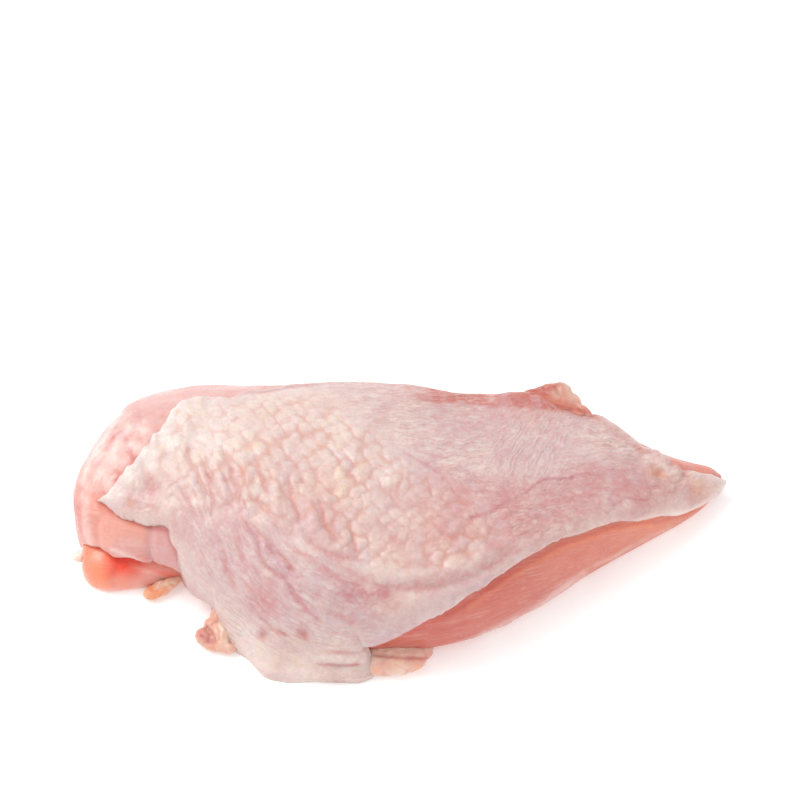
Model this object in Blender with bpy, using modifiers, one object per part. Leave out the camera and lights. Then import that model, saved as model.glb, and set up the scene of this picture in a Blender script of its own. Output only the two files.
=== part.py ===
"""Raw chicken breast half with its skin on, off the bone, lying skin side up.

The breast muscle is a loft of rounded sections along X. Its blunt end is at -X
and its pointed end at +X. The inner fillet lies in a bed along the underside
and its end shows at the blunt end. A thin sheet of skin follows the muscle and
runs out over the board in a hem on the near side. Four scraps of fat hang from
its rim.
"""

import math

import bmesh
import bpy
import numpy as np

# Lengths are in millimetres and become metres in the meshes.
MM = 0.001
COLLECTION = "raw_chicken_breast"
CUTTERS = "raw_chicken_breast_cutters"

# Middle of the outline on the board, which becomes the origin.
CENTRE_X = 0.9
CENTRE_Y = -2.9

# Sections of the muscle: x, near edge, far edge, underside, top, place of the crest.
MEAT_SECTIONS = (
    (-94.3, 5.9, 9.5, 4.0, 9.0, 0.50),
    (-93.2, -0.9, 15.3, 1.4, 13.5, 0.48),
    (-89.5, -10.8, 25.2, 0.3, 18.4, 0.46),
    (-81.0, -16.7, 37.8, 0.0, 23.4, 0.42),
    (-63.0, -19.8, 44.1, 0.0, 27.9, 0.38),
    (-45.0, -30.6, 43.6, 0.0, 31.5, 0.38),
    (-25.2, -40.5, 43.2, 0.0, 33.3, 0.38),
    (-1.8, -41.4, 42.3, 0.0, 32.4, 0.37),
    (18.0, -38.4, 41.4, 0.0, 30.2, 0.35),
    (37.8, -27.9, 41.4, 0.0, 27.0, 0.32),
    (55.8, -14.8, 35.6, 0.0, 22.5, 0.30),
    (72.0, -4.0, 26.1, 0.0, 15.3, 0.33),
    (85.5, 5.4, 19.8, 0.0, 8.6, 0.42),
    (93.6, 12.6, 18.0, 0.0, 5.0, 0.50),
    (95.9, 15.3, 17.6, 0.5, 2.7, 0.50),
)
NEAR_POWER = 2.5
FAR_POWER = 2.0
FOOT_POWER = 4.0
GIRTH = 0.27
PRESSED_FLAT = 0.6
MEAT_RINGS = 54
MEAT_SIDES = 36

# Sections of the inner fillet, in the same order.
FILLET_SECTIONS = (
    (-90.9, -11.7, -6.3, 1.8, 5.4, 0.50),
    (-89.5, -16.7, -0.9, 0.3, 9.9, 0.45),
    (-84.6, -20.2, 4.5, 0.0, 12.6, 0.42),
    (-75.6, -19.8, 7.7, 0.0, 12.2, 0.42),
    (-63.0, -17.1, 9.9, 0.0, 10.3, 0.42),
    (-40.5, -11.7, 11.7, 0.0, 9.0, 0.45),
    (-13.5, -8.1, 10.8, 0.0, 7.2, 0.50),
    (4.5, -3.1, 7.7, 0.0, 4.5, 0.50),
    (12.6, 0.9, 4.5, 0.3, 2.2, 0.50),
)
FILLET_RINGS = 26
FILLET_SIDES = 20
BED_CLEARANCE = 0.45

# Edges of the skin: x, ring place of the near edge, of the turn above it and of
# the far edge. Ring place 0 is the widest point on the near side, 1 the crest and
# 2 the widest point on the far side. A place below 0 lies under the near side.
SKIN_EDGES = (
    (-84.2, 0.62, 0.63, 0.66),
    (-81.4, 0.60, 0.62, 0.69),
    (-78.3, 0.54, 0.60, 0.80),
    (-73.8, 0.49, 0.60, 0.96),
    (-69.8, 0.46, 0.62, 1.14),
    (-65.7, 0.46, 0.66, 1.33),
    (-62.1, 0.44, 0.64, 1.42),
    (-59.8, 0.20, 0.56, 1.46),
    (-57.2, -0.16, 0.48, 1.48),
    (-49.5, -0.20, 0.36, 1.52),
    (-36.0, -0.20, 0.32, 1.66),
    (-22.5, -0.20, 0.30, 1.76),
    (-12.0, -0.20, 0.30, 1.78),
    (-7.6, 0.04, 0.31, 1.78),
    (1.6, 0.16, 0.36, 1.74),
    (10.8, 0.26, 0.43, 1.66),
    (19.8, 0.36, 0.52, 1.63),
    (33.6, 0.47, 0.62, 1.63),
    (42.6, 0.53, 0.68, 1.66),
    (55.8, 0.56, 0.70, 1.68),
    (64.8, 0.53, 0.68, 1.60),
    (72.5, 0.49, 0.63, 1.44),
    (81.0, 0.39, 0.52, 1.24),
    (89.6, 0.40, 0.48, 0.95),
    (94.1, 0.58, 0.61, 0.74),
)
SKIN_THICK = 1.8
RIM_THINNING = 0.45
SKIN_GAP = 0.7
SKIN_ROWS = 76
SKIN_COLUMNS = 20
HEM_COLUMNS = 6

# Where the rows of the skin stand: share of the rows, x. Rows crowd at steep edges.
SKIN_ROW_PLACES = (
    (0.00, -84.2),
    (0.10, -67.0),
    (0.24, -54.5),
    (0.31, -47.0),
    (0.48, -15.0),
    (0.58, -5.5),
    (1.00, 94.1),
)

# The hem: x, reach of the skin over the board beyond the muscle's near edge.
HEM_REACH = (
    (-53.6, 0.0),
    (-52.2, 2.0),
    (-50.4, 13.6),
    (-46.5, 11.6),
    (-42.3, 10.6),
    (-38.0, 12.6),
    (-34.8, 13.2),
    (-25.0, 9.4),
    (-12.6, 8.2),
    (-10.4, 6.6),
    (-7.2, 0.0),
)
HEM_HEIGHT = 0.10
HEM_SLANT = 2.8
HEM_SLANT_START = -32.0
HEM_SLANT_END = -12.0

# Scraps of fat: centre, half sizes, turn about Z and tilt in degrees, lumps, seed.
SCRAPS = {
    "fat_tag_left": ((-67.0, -19.8, 2.3), (5.9, 3.2, 2.6), 32.0, 0.0, 0.16, 3),
    "fat_tag_corner": ((-51.9, -33.8, 2.7), (4.8, 7.9, 2.8), 4.0, 0.0, 0.20, 7),
    "fat_tag_front": ((-0.2, -41.8, 3.1), (12.4, 5.7, 3.3), 6.0, 0.0, 0.12, 11),
    "fat_tag_back": ((46.4, 39.4, 11.4), (7.6, 6.4, 4.6), -16.0, 22.0, 0.14, 17),
    "fat_tag_end": ((-91.2, -10.9, 5.0), (2.8, 1.9, 1.7), 10.0, 0.0, 0.16, 23),
}
SCRAP_SEGMENTS = 16
SCRAP_RINGS = 11
SCRAP_CLEARANCE = 0.45
SKIN_CLEARANCE = 0.80
SLIVER = 0.02


def smooth_curve(knots, values, at, gentle=False):
    """Catmull-Rom curve through values over rising knots, without overshoot if gentle."""
    knots = np.asarray(knots, dtype=float)
    values = np.asarray(values, dtype=float)
    at = np.clip(np.asarray(at, dtype=float), knots[0], knots[-1])
    slope = np.gradient(values, knots)
    step = np.diff(knots)
    if gentle:
        rise = np.diff(values) / step
        product = rise[:-1] * rise[1:]
        total = np.where(product > 0.0, rise[:-1] + rise[1:], 1.0)
        slope[1:-1] = np.where(product > 0.0, 2.0 * product / total, 0.0)
    i = np.clip(np.searchsorted(knots, at, side="right") - 1, 0, len(step) - 1)
    u = (at - knots[i]) / step[i]
    start = (1.0 + 2.0 * u) * (1.0 - u) ** 2 * values[i]
    end = u * u * (3.0 - 2.0 * u) * values[i + 1]
    bend = u * (1.0 - u) ** 2 * slope[i] + u * u * (u - 1.0) * slope[i + 1]
    return start + end + bend * step[i]


def even_knots(sections):
    """Knot of each section from 0 to 1, spaced by how far the outline moves."""
    table = np.asarray(sections)
    sideways = 0.5 * (np.abs(np.diff(table[:, 1])) + np.abs(np.diff(table[:, 2])))
    knots = np.concatenate([[0.0], np.cumsum(np.hypot(np.diff(table[:, 0]), sideways))])
    return knots / knots[-1]


def knot_at_x(sections, x):
    """Knot whose section stands at x."""
    table = np.asarray(sections)
    fine = np.linspace(0.0, 1.0, 2001)
    along = smooth_curve(even_knots(sections), table[:, 0], fine)
    return np.interp(x, np.maximum.accumulate(along), fine)


def quarter_arc(power, share):
    """Point of a superellipse quarter at a share of its length, 0 on the first axis."""
    angle = np.linspace(0.0, 0.5 * math.pi, 65)
    across = np.cos(angle) ** (2.0 / power)
    up = np.sin(angle) ** (2.0 / power)
    length = np.concatenate([[0.0], np.cumsum(np.hypot(np.diff(across), np.diff(up)))])
    place = np.asarray(share) * length[-1]
    return np.interp(place, length, across), np.interp(place, length, up)


def section_point(section, ring):
    """Y and Z on a section, for ring places from 0 to 4 round it."""
    near, far, under, top, crest = section
    ring = np.mod(ring, 4.0)
    quarter = np.floor(ring).astype(int)
    share = ring - quarter
    height = top - under
    girth = under + GIRTH * height
    crown = near + crest * (far - near)
    middle = 0.5 * (near + far)
    y = np.zeros_like(ring)
    z = np.zeros_like(ring)
    shapes = (
        (NEAR_POWER, crown, near - crown, top - girth, False),
        (FAR_POWER, crown, far - crown, top - girth, True),
        (FOOT_POWER, middle, far - middle, under - girth, False),
        (FOOT_POWER, middle, near - middle, under - girth, True),
    )
    for index, (power, centre, reach, rise, backward) in enumerate(shapes):
        across, up = quarter_arc(power, 1.0 - share if backward else share)
        y = np.where(quarter == index, centre + reach * across, y)
        z = np.where(quarter == index, girth + rise * up, z)
    lift = (z - PRESSED_FLAT) * top / (top - PRESSED_FLAT)
    return y, np.maximum(lift, 0.0)


def loft_points(sections, knot, ring):
    """Points of a loft, for equally long lists of knots and ring places."""
    table = np.asarray(sections)
    knots = even_knots(sections)
    along = [smooth_curve(knots, table[:, c], knot) for c in range(table.shape[1])]
    y, z = section_point(along[1:], np.asarray(ring, dtype=float))
    return np.stack([along[0], y, z], axis=-1)


def loft_normals(sections, knot, ring):
    """Outward normals of a loft, from its own slopes."""
    step_k = 0.002
    step_r = 0.02
    ahead = np.minimum(knot + step_k, 1.0)
    behind = np.maximum(knot - step_k, 0.0)
    along = loft_points(sections, ahead, ring) - loft_points(sections, behind, ring)
    around = loft_points(sections, knot, ring + step_r)
    around = around - loft_points(sections, knot, ring - step_r)
    normal = np.cross(along, around)
    return normal / np.maximum(np.linalg.norm(normal, axis=-1, keepdims=True), 1e-9)


def new_collection(name):
    """Collection linked to the scene."""
    collection = bpy.data.collections.new(name)
    bpy.context.scene.collection.children.link(collection)
    return collection


def new_material(name, colour, roughness):
    """Principled material of one plain colour."""
    material = bpy.data.materials.new(name)
    material.use_nodes = True
    shader = material.node_tree.nodes["Principled BSDF"]
    shader.inputs["Base Color"].default_value = (*colour, 1.0)
    shader.inputs["Roughness"].default_value = roughness
    shader.inputs["Metallic"].default_value = 0.0
    material.diffuse_color = (*colour, 1.0)
    return material


def new_object(name, mesh_edit, collection, material=None):
    """Object made from an edit mesh, in metres about the middle of the outline."""
    for vert in mesh_edit.verts:
        vert.co.x = (vert.co.x - CENTRE_X) * MM
        vert.co.y = (vert.co.y - CENTRE_Y) * MM
        vert.co.z = vert.co.z * MM
    mesh_edit.normal_update()
    bmesh.ops.recalc_face_normals(mesh_edit, faces=mesh_edit.faces)
    mesh = bpy.data.meshes.new(name)
    mesh_edit.to_mesh(mesh)
    mesh_edit.free()
    mesh.shade_smooth()
    if material is not None:
        mesh.materials.append(material)
    piece = bpy.data.objects.new(name, mesh)
    collection.objects.link(piece)
    return piece


def ball(segments, rings):
    """Unit ball with its poles on the X axis, and each vertex's place on it."""
    edit = bmesh.new()
    bmesh.ops.create_uvsphere(edit, u_segments=segments, v_segments=rings, radius=1.0)
    edit.verts.ensure_lookup_table()
    unit = np.array([vert.co[:] for vert in edit.verts])
    along = np.arccos(np.clip(-unit[:, 2], -1.0, 1.0)) / math.pi
    around = np.mod(np.arctan2(unit[:, 1], -unit[:, 0]), 2.0 * math.pi) * 2.0 / math.pi
    return edit, along, around


def loft_mesh(sections, sides, rings):
    """Closed loft: a ball drawn out over the sections, its poles at the two ends."""
    edit, along, around = ball(sides, rings)
    pole = 0.5 / rings
    knot = np.clip((along - pole) / (1.0 - 2.0 * pole), 0.0, 1.0)
    points = loft_points(sections, knot, around)
    for index, vert in enumerate(edit.verts):
        vert.co = points[index]
    for at_end, end in ((along < pole, 0.0), (along > 1.0 - pole, 1.0)):
        ring = loft_points(sections, np.full(16, end), np.arange(16) * 0.25)
        middle = ring.mean(axis=0)
        middle[0] += 0.35 if end else -0.35
        for index in np.nonzero(at_end)[0]:
            edit.verts[int(index)].co = middle
    return edit


def grown_sections(sections, by):
    """The same sections, larger by a clearance on every side."""
    grown = []
    last = len(sections) - 1
    for index, (x, near, far, under, top, crest) in enumerate(sections):
        reach = -by if index == 0 else (by if index == last else 0.0)
        grown.append((x + reach, near - by, far + by, under - by, top + by, crest))
    return tuple(grown)


def make_fillet_bed(cutters):
    """Cutter a clearance larger than the fillet, open through the underside."""
    edit = loft_mesh(grown_sections(FILLET_SECTIONS, BED_CLEARANCE), FILLET_SIDES, FILLET_RINGS)
    for vert in edit.verts:
        if vert.co.z < 0.8:
            vert.co.z = -1.5
    cutter = new_object("fillet_bed", edit, cutters)
    hide_cutter(cutter)
    return cutter


def hide_cutter(cutter):
    """A cutter shows as a wire and never renders."""
    cutter.hide_render = True
    cutter.display_type = "WIRE"


def cut_away(piece, cutter, folded=False):
    """Take the cutter's volume out of a piece. A folded cutter may touch itself."""
    cut = piece.modifiers.new("cut_" + cutter.name, "BOOLEAN")
    cut.operation = "DIFFERENCE"
    cut.object = cutter
    cut.solver = "EXACT"
    cut.use_self = folded


def loose_bodies(edit):
    """Groups of faces joined through edges that two faces share, the largest first."""
    left = set(edit.faces)
    bodies = []
    while left:
        body = set()
        front = [left.pop()]
        while front:
            face = front.pop()
            body.add(face)
            shared = [edge for edge in face.edges if len(edge.link_faces) == 2]
            joined = {other for edge in shared for other in edge.link_faces} & left
            left -= joined
            front.extend(joined)
        bodies.append(body)
    return sorted(bodies, key=len, reverse=True)


def settle_cuts(piece):
    """Take the cuts into the mesh and drop the crumbs and slivers that they left."""
    depsgraph = bpy.context.evaluated_depsgraph_get()
    mesh = bpy.data.meshes.new_from_object(piece.evaluated_get(depsgraph))
    edit = bmesh.new()
    edit.from_mesh(mesh)
    bmesh.ops.remove_doubles(edit, verts=edit.verts, dist=SLIVER * MM)
    bmesh.ops.dissolve_degenerate(edit, edges=edit.edges, dist=SLIVER * MM)
    bmesh.ops.triangulate(edit, faces=edit.faces)
    crumbs = [face for body in loose_bodies(edit)[1:] for face in body]
    bmesh.ops.delete(edit, geom=crumbs, context="FACES")
    edit.to_mesh(mesh)
    edit.free()
    piece.modifiers.clear()
    piece.data = mesh


def make_meat(parts, cutters):
    """Breast muscle, bedded round the inner fillet."""
    material = new_material("raw_meat", (0.80, 0.26, 0.20), 0.35)
    meat = new_object("breast_meat", loft_mesh(MEAT_SECTIONS, MEAT_SIDES, MEAT_RINGS), parts, material)
    cut_away(meat, make_fillet_bed(cutters))
    settle_cuts(meat)
    return meat


def make_fillet(parts):
    """Inner fillet, a long rounded strip that tapers to the right."""
    material = new_material("raw_fillet", (0.90, 0.24, 0.14), 0.35)
    return new_object("inner_fillet", loft_mesh(FILLET_SECTIONS, FILLET_SIDES, FILLET_RINGS), parts, material)


def skin_points(row, column, gap):
    """Points of the skin's inner face over the grid, at a gap from the muscle.

    Row runs 0 to 1 along the breast. Column runs 0 to 1 from the far edge to the
    near edge, and its last part is the hem.
    """
    edges = np.asarray(SKIN_EDGES)
    table = np.asarray(MEAT_SECTIONS)
    places = np.asarray(SKIN_ROW_PLACES)
    x = smooth_curve(places[:, 0], places[:, 1], row, gentle=True)
    knot = knot_at_x(MEAT_SECTIONS, x)
    near_edge = smooth_curve(edges[:, 0], edges[:, 1], x, gentle=True)
    turn = smooth_curve(edges[:, 0], edges[:, 2], x, gentle=True)
    far_edge = smooth_curve(edges[:, 0], edges[:, 3], x, gentle=True)
    reach_table = np.asarray(HEM_REACH)
    reach = np.interp(x, reach_table[:, 0], reach_table[:, 1], left=0.0, right=0.0)
    hem = np.clip(reach / 5.0, 0.0, 1.0)
    hem = hem * hem * (3.0 - 2.0 * hem)

    body_share = (SKIN_COLUMNS - HEM_COLUMNS) / SKIN_COLUMNS
    body = np.clip(column / body_share, 0.0, 1.0)
    tail = np.clip((column - body_share) / (1.0 - body_share), 0.0, 1.0)

    ring = far_edge + (turn - far_edge) * body + (near_edge - turn) * tail
    on_meat = loft_points(MEAT_SECTIONS, knot, ring)
    on_meat = on_meat + gap * loft_normals(MEAT_SECTIONS, knot, ring)

    start = loft_points(MEAT_SECTIONS, knot, turn)
    start = start + gap * loft_normals(MEAT_SECTIONS, knot, turn)
    below = loft_points(MEAT_SECTIONS, knot, turn - 0.08)
    below = below + gap * loft_normals(MEAT_SECTIONS, knot, turn - 0.08)
    heading = below - start
    heading = heading / np.maximum(np.linalg.norm(heading, axis=-1, keepdims=True), 1e-9)
    edge_y = smooth_curve(even_knots(MEAT_SECTIONS), table[:, 1], knot) - reach - gap
    slant = (x - HEM_SLANT_START) / (HEM_SLANT_END - HEM_SLANT_START)
    slant = HEM_SLANT * np.clip(slant, 0.0, 1.0)
    finish = np.stack([x + slant, edge_y, HEM_HEIGHT + 0.0 * x], axis=-1)
    lean = finish - start
    span = np.linalg.norm(lean, axis=-1, keepdims=True)
    first_pull = start + heading * span * 0.42
    last_pull = finish + np.stack([0.0 * x, 0.5 * np.maximum(reach, 4.0), 0.0 * x], axis=-1)
    share = tail[:, None]
    swept = (1 - share) ** 3 * start + 3 * share * (1 - share) ** 2 * first_pull
    swept = swept + 3 * share ** 2 * (1 - share) * last_pull + share ** 3 * finish

    blend = hem[:, None] * (tail[:, None] > 0.0)
    points = on_meat * (1.0 - blend) + swept * blend
    points[:, 2] = np.maximum(points[:, 2], HEM_HEIGHT)
    return points


def skin_grid(gap):
    """Edit mesh of the skin's inner face."""
    edit = bmesh.new()
    bmesh.ops.create_grid(edit, x_segments=SKIN_ROWS, y_segments=SKIN_COLUMNS, size=1.0)
    place = np.array([vert.co[:] for vert in edit.verts])
    row = 0.5 * (place[:, 0] + 1.0)
    column = 0.5 * (1.0 - place[:, 1])
    points = skin_points(row, column, gap)
    from_side = np.minimum(column, 1.0 - column) * SKIN_COLUMNS / 2.0
    from_end = np.minimum(row, 1.0 - row) * SKIN_ROWS / 3.0
    weight = np.clip(np.minimum(from_side, from_end), 0.0, 1.0)
    layer = edit.verts.layers.deform.verify()
    for index, vert in enumerate(edit.verts):
        vert.co = points[index]
        vert[layer][0] = float(weight[index])
    return edit


def add_thickness(piece, thickness):
    """Solid sheet, grown outward from the muscle and thinner towards its rim."""
    piece.vertex_groups.new(name="away_from_rim")
    solid = piece.modifiers.new("thickness", "SOLIDIFY")
    solid.vertex_group = "away_from_rim"
    solid.thickness_vertex_group = RIM_THINNING
    solid.thickness = thickness * MM
    solid.offset = 1.0
    solid.use_even_offset = False


def face_up(edit):
    """Turn the faces of an open sheet so that they look away from the board."""
    edit.normal_update()
    if sum(face.normal.z * face.calc_area() for face in edit.faces) < 0.0:
        bmesh.ops.reverse_faces(edit, faces=edit.faces)


def sheet_object(name, edit, collection, material=None):
    """Object of an open sheet, facing up, in metres about the middle of the outline."""
    face_up(edit)
    for vert in edit.verts:
        vert.co.x = (vert.co.x - CENTRE_X) * MM
        vert.co.y = (vert.co.y - CENTRE_Y) * MM
        vert.co.z = vert.co.z * MM
    mesh = bpy.data.meshes.new(name)
    edit.to_mesh(mesh)
    edit.free()
    mesh.shade_smooth()
    if material is not None:
        mesh.materials.append(material)
    piece = bpy.data.objects.new(name, mesh)
    collection.objects.link(piece)
    return piece


def make_skin(parts):
    """Skin with its thin layer of fat."""
    material = new_material("raw_skin", (0.80, 0.58, 0.53), 0.30)
    skin = sheet_object("skin", skin_grid(SKIN_GAP), parts, material)
    add_thickness(skin, SKIN_THICK)
    return skin


def scrap_mesh(centre, half, turn, tilt, lumps, seed):
    """Lumpy flattened ball of fat that stands on the board or hangs on the rim."""
    edit, along, around = ball(SCRAP_SEGMENTS, SCRAP_RINGS)
    chance = np.random.default_rng(seed)
    waves = chance.uniform(2.0, 5.0, (5, 3))
    starts = chance.uniform(0.0, 2.0 * math.pi, 5)
    turn_cos = math.cos(math.radians(turn))
    turn_sin = math.sin(math.radians(turn))
    tilt_cos = math.cos(math.radians(tilt))
    tilt_sin = math.sin(math.radians(tilt))
    for vert in edit.verts:
        unit = np.array(vert.co[:])
        swell = sum(math.sin(float(wave @ unit) + start) for wave, start in zip(waves, starts))
        size = 1.0 + lumps * swell / 2.5
        x, y, z = (unit[axis] * half[axis] * size for axis in range(3))
        y, z = y * tilt_cos - z * tilt_sin, y * tilt_sin + z * tilt_cos
        x, y = x * turn_cos - y * turn_sin, x * turn_sin + y * turn_cos
        vert.co = (x + centre[0], y + centre[1], max(z + centre[2], 0.05))
    return edit


def make_clearances(cutters):
    """Cutters a clearance larger than the muscle, the fillet and the skin."""
    meat = new_object(
        "meat_clearance",
        loft_mesh(grown_sections(MEAT_SECTIONS, SCRAP_CLEARANCE), MEAT_SIDES, MEAT_RINGS),
        cutters,
    )
    fillet = new_object(
        "fillet_clearance",
        loft_mesh(grown_sections(FILLET_SECTIONS, SCRAP_CLEARANCE), FILLET_SIDES, FILLET_RINGS),
        cutters,
    )
    skin = sheet_object("skin_clearance", skin_grid(SKIN_GAP), cutters)
    add_thickness(skin, SKIN_THICK)
    swell = skin.modifiers.new("swell", "DISPLACE")
    swell.mid_level = 0.0
    swell.strength = SKIN_CLEARANCE * MM
    for cutter in (meat, fillet, skin):
        hide_cutter(cutter)
    return meat, fillet, skin


def make_scraps(parts, cutters):
    """Scraps of fat, each cut to lie against what it hangs on."""
    colours = {
        "fat_tag_left": (0.86, 0.46, 0.28),
        "fat_tag_corner": (0.84, 0.44, 0.34),
        "fat_tag_front": (0.76, 0.42, 0.32),
        "fat_tag_back": (0.74, 0.38, 0.30),
        "fat_tag_end": (0.90, 0.72, 0.66),
    }
    clearances = make_clearances(cutters)
    for name, sizes in SCRAPS.items():
        material = new_material(name, colours[name], 0.35)
        scrap = new_object(name, scrap_mesh(*sizes), parts, material)
        for cutter in clearances:
            cut_away(scrap, cutter, folded=cutter.name == "skin_clearance")
        settle_cuts(scrap)


def main():
    """Build every piece of the breast."""
    for old in list(bpy.data.objects):
        bpy.data.objects.remove(old, do_unlink=True)
    parts = new_collection(COLLECTION)
    cutters = new_collection(CUTTERS)
    make_meat(parts, cutters)
    make_fillet(parts)
    make_skin(parts)
    make_scraps(parts, cutters)


main()
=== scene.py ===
"""Looks of a raw chicken breast half with its skin on, lying skin side up.

The breast is dressed in four kinds of piece: the muscle, the inner fillet in its
bed along the underside, the bumpy skin over the top, and the scraps of fat that
hang from the rim. Shapes are worked out in millimetres and become metres in the
meshes. Marks on a surface, such as creases and tints, are painted where they are
seen from the camera and are kept on the mesh as masks, so they stay on it from
any side. In the tables of marks a path is a row of picture points, a line is a
path and its half width, a crease has its depth or height too, and a dab is its
place across and down, its radius and its strength.
"""

import logging
import math
from dataclasses import dataclass, field
from enum import Enum
from typing import Callable, Iterable, Sequence

import bmesh
import bpy
import numpy as np
from mathutils.kdtree import KDTree
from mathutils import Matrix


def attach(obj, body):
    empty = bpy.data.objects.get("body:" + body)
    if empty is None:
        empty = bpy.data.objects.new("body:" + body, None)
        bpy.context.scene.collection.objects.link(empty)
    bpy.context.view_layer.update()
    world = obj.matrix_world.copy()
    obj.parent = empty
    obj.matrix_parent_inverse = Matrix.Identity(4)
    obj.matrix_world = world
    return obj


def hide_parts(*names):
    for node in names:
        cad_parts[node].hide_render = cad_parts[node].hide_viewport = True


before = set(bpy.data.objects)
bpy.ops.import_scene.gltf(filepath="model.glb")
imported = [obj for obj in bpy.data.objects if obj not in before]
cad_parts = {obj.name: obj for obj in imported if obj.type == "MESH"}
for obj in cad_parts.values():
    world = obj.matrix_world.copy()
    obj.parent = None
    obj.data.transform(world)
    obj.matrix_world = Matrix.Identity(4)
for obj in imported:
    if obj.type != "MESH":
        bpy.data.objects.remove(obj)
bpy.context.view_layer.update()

logging.basicConfig(level=logging.INFO, format="%(message)s")
LOG = logging.getLogger("raw_chicken_breast")

MM = 0.001
CENTRE = np.array([0.9, -2.9, 0.0])
BODY = "root"
DIAGONAL = 0.7071
CLEARANCE = 0.02

Colour = tuple[float, float, float]
Path = tuple[tuple[float, float], ...]
Dab = tuple[float, float, float, float]
Line = tuple[Path, float]
Crease = tuple[Path, float, float]


class Slot(Enum):
    """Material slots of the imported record."""

    MEAT = "raw_meat"
    FILLET = "raw_fillet"
    SKIN = "raw_skin"
    FAT = "raw_fat"


class Mask(Enum):
    """Painted masks that the meshes carry and the finishes read. The furrow shade mask is painted shade, and the blush,
    flesh, orange and pale masks hold some painted shade and highlights beside real tints.
    """

    BUMPS = "bumps"
    FURROW_SHADE = "furrow_shade"
    WRINKLES = "wrinkles"
    PALE = "pale"
    CREAM = "cream"
    BLUSH = "blush"
    LILAC = "lilac"
    FLESH = "flesh"
    ORANGE = "orange"
    VEIN = "vein"
    SWEEP = "sweep"


class Chart(Enum):
    """Coordinates in millimetres that run over a surface."""

    FLOW = "flow"
    DRIFT = "drift"
    SWIRL = "swirl"


def linear(*channels: int) -> Colour:
    """Colour in linear light, as the shaders use it, of a screen colour of 0 to 255."""
    shares = (channel / 255.0 for channel in channels)
    return tuple(s / 12.92 if s <= 0.04045 else ((s + 0.055) / 1.055) ** 2.4 for s in shares)


def ease(value: np.ndarray, low: float, high: float) -> np.ndarray:
    """Smooth step, 0 at low and 1 at high."""
    share = np.clip((value - low) / (high - low), 0.0, 1.0)
    return share * share * (3.0 - 2.0 * share)


def summed(*masks: np.ndarray) -> np.ndarray:
    """Sum of masks, held between 0 and 1."""
    return np.clip(sum(masks), 0.0, 1.0)


def smooth_curve(knots: Sequence[float], values: Sequence[float], at: np.ndarray, gentle: bool = False) -> np.ndarray:
    """Catmull-Rom curve through values.

    Args:
        knots: Rising places of the values.
        values: Values that the curve goes through.
        at: Places to read.
        gentle: Whether the curve never swings past its values.

    Returns:
        The curve's values.
    """
    knots, values = np.asarray(knots, dtype=float), np.asarray(values, dtype=float)
    at = np.clip(np.asarray(at, dtype=float), knots[0], knots[-1])
    slope, step = np.gradient(values, knots), np.diff(knots)
    if gentle:
        rise = np.diff(values) / step
        product = rise[:-1] * rise[1:]
        total = np.where(product > 0.0, rise[:-1] + rise[1:], 1.0)
        slope[1:-1] = np.where(product > 0.0, 2.0 * product / total, 0.0)
    i = np.clip(np.searchsorted(knots, at, side="right") - 1, 0, len(step) - 1)
    u = (at - knots[i]) / step[i]
    ends = (1.0 + 2.0 * u) * (1.0 - u) ** 2 * values[i] + u * u * (3.0 - 2.0 * u) * values[i + 1]
    bend = u * (1.0 - u) ** 2 * slope[i] + u * u * (u - 1.0) * slope[i + 1]
    return ends + bend * step[i]


class Grain:
    """Smooth random field in space, the same on every run."""

    CELLS = 32

    def __init__(self, seed: int) -> None:
        """Fills the table that the field is read from."""
        self.table = np.random.default_rng(seed).uniform(-1.0, 1.0, (self.CELLS,) * 3)

    def at(self, points: np.ndarray, size: float | Sequence[float]) -> np.ndarray:
        """Reads the field.

        Args:
            points: Points in millimetres, one a row.
            size: Size of the lumps in millimetres, for all axes or for each.

        Returns:
            Values from -1 to 1.
        """
        scaled = np.asarray(points, dtype=float) / np.asarray(size, dtype=float)
        cell = np.floor(scaled).astype(int)
        share = ease(scaled - cell, 0.0, 1.0)
        total = np.zeros(len(scaled))
        for corner in np.ndindex(2, 2, 2):
            weight = np.prod(np.where(corner, share, 1.0 - share), axis=1)
            total += weight * self.table[tuple(np.mod(cell + corner, self.CELLS).T)]
        return total

    def rough(self, points: np.ndarray, size: float | np.ndarray, layers: int = 3) -> np.ndarray:
        """Sum of layers of the field, each half the size and height of the last."""
        return sum(self.at(points + 17.0 * n, size / 2**n) / 2**n for n in range(layers)) / 1.4


@dataclass(frozen=True)
class Viewpoint:
    """The camera, and where it sees a point in the square picture."""

    target: tuple[float, float, float] = (-0.9, 49.7, 0.0)
    distance: float = 670.5
    elevation: float = 55.0
    lens: float = 100.0
    sensor: float = 36.0
    picture: float = 800.0

    def place(self) -> np.ndarray:
        """The camera's place in millimetres."""
        tilt = math.radians(self.elevation)
        return np.asarray(self.target) + self.distance * np.array([0.0, -math.cos(tilt), math.sin(tilt)])

    def sees(self, points: np.ndarray) -> np.ndarray:
        """Where points are seen.

        Args:
            points: Points in millimetres, one a row.

        Returns:
            Picture coordinates, rightward and downward, one pair a row.
        """
        tilt, half = math.radians(self.elevation), self.picture / 2.0
        offset = np.asarray(points, dtype=float) - self.place()
        depth = offset @ np.array([0.0, math.cos(tilt), -math.sin(tilt)])
        rise = offset @ np.array([0.0, math.sin(tilt), math.cos(tilt)])
        scale = self.picture * self.lens / self.sensor / depth
        return np.stack([half + scale * offset[:, 0], half - scale * rise], axis=1)

    def build(self) -> None:
        """Makes the camera and hands it to the scene."""
        data = bpy.data.cameras.new("camera")
        data.lens, data.sensor_width = self.lens, self.sensor
        data.clip_start, data.clip_end = 0.01, 20.0
        camera = bpy.data.objects.new("camera", data)
        camera.location = self.place() * MM
        camera.rotation_euler = (math.radians(90.0 - self.elevation), 0.0, 0.0)
        bpy.context.collection.objects.link(camera)
        bpy.context.scene.camera = camera


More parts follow.
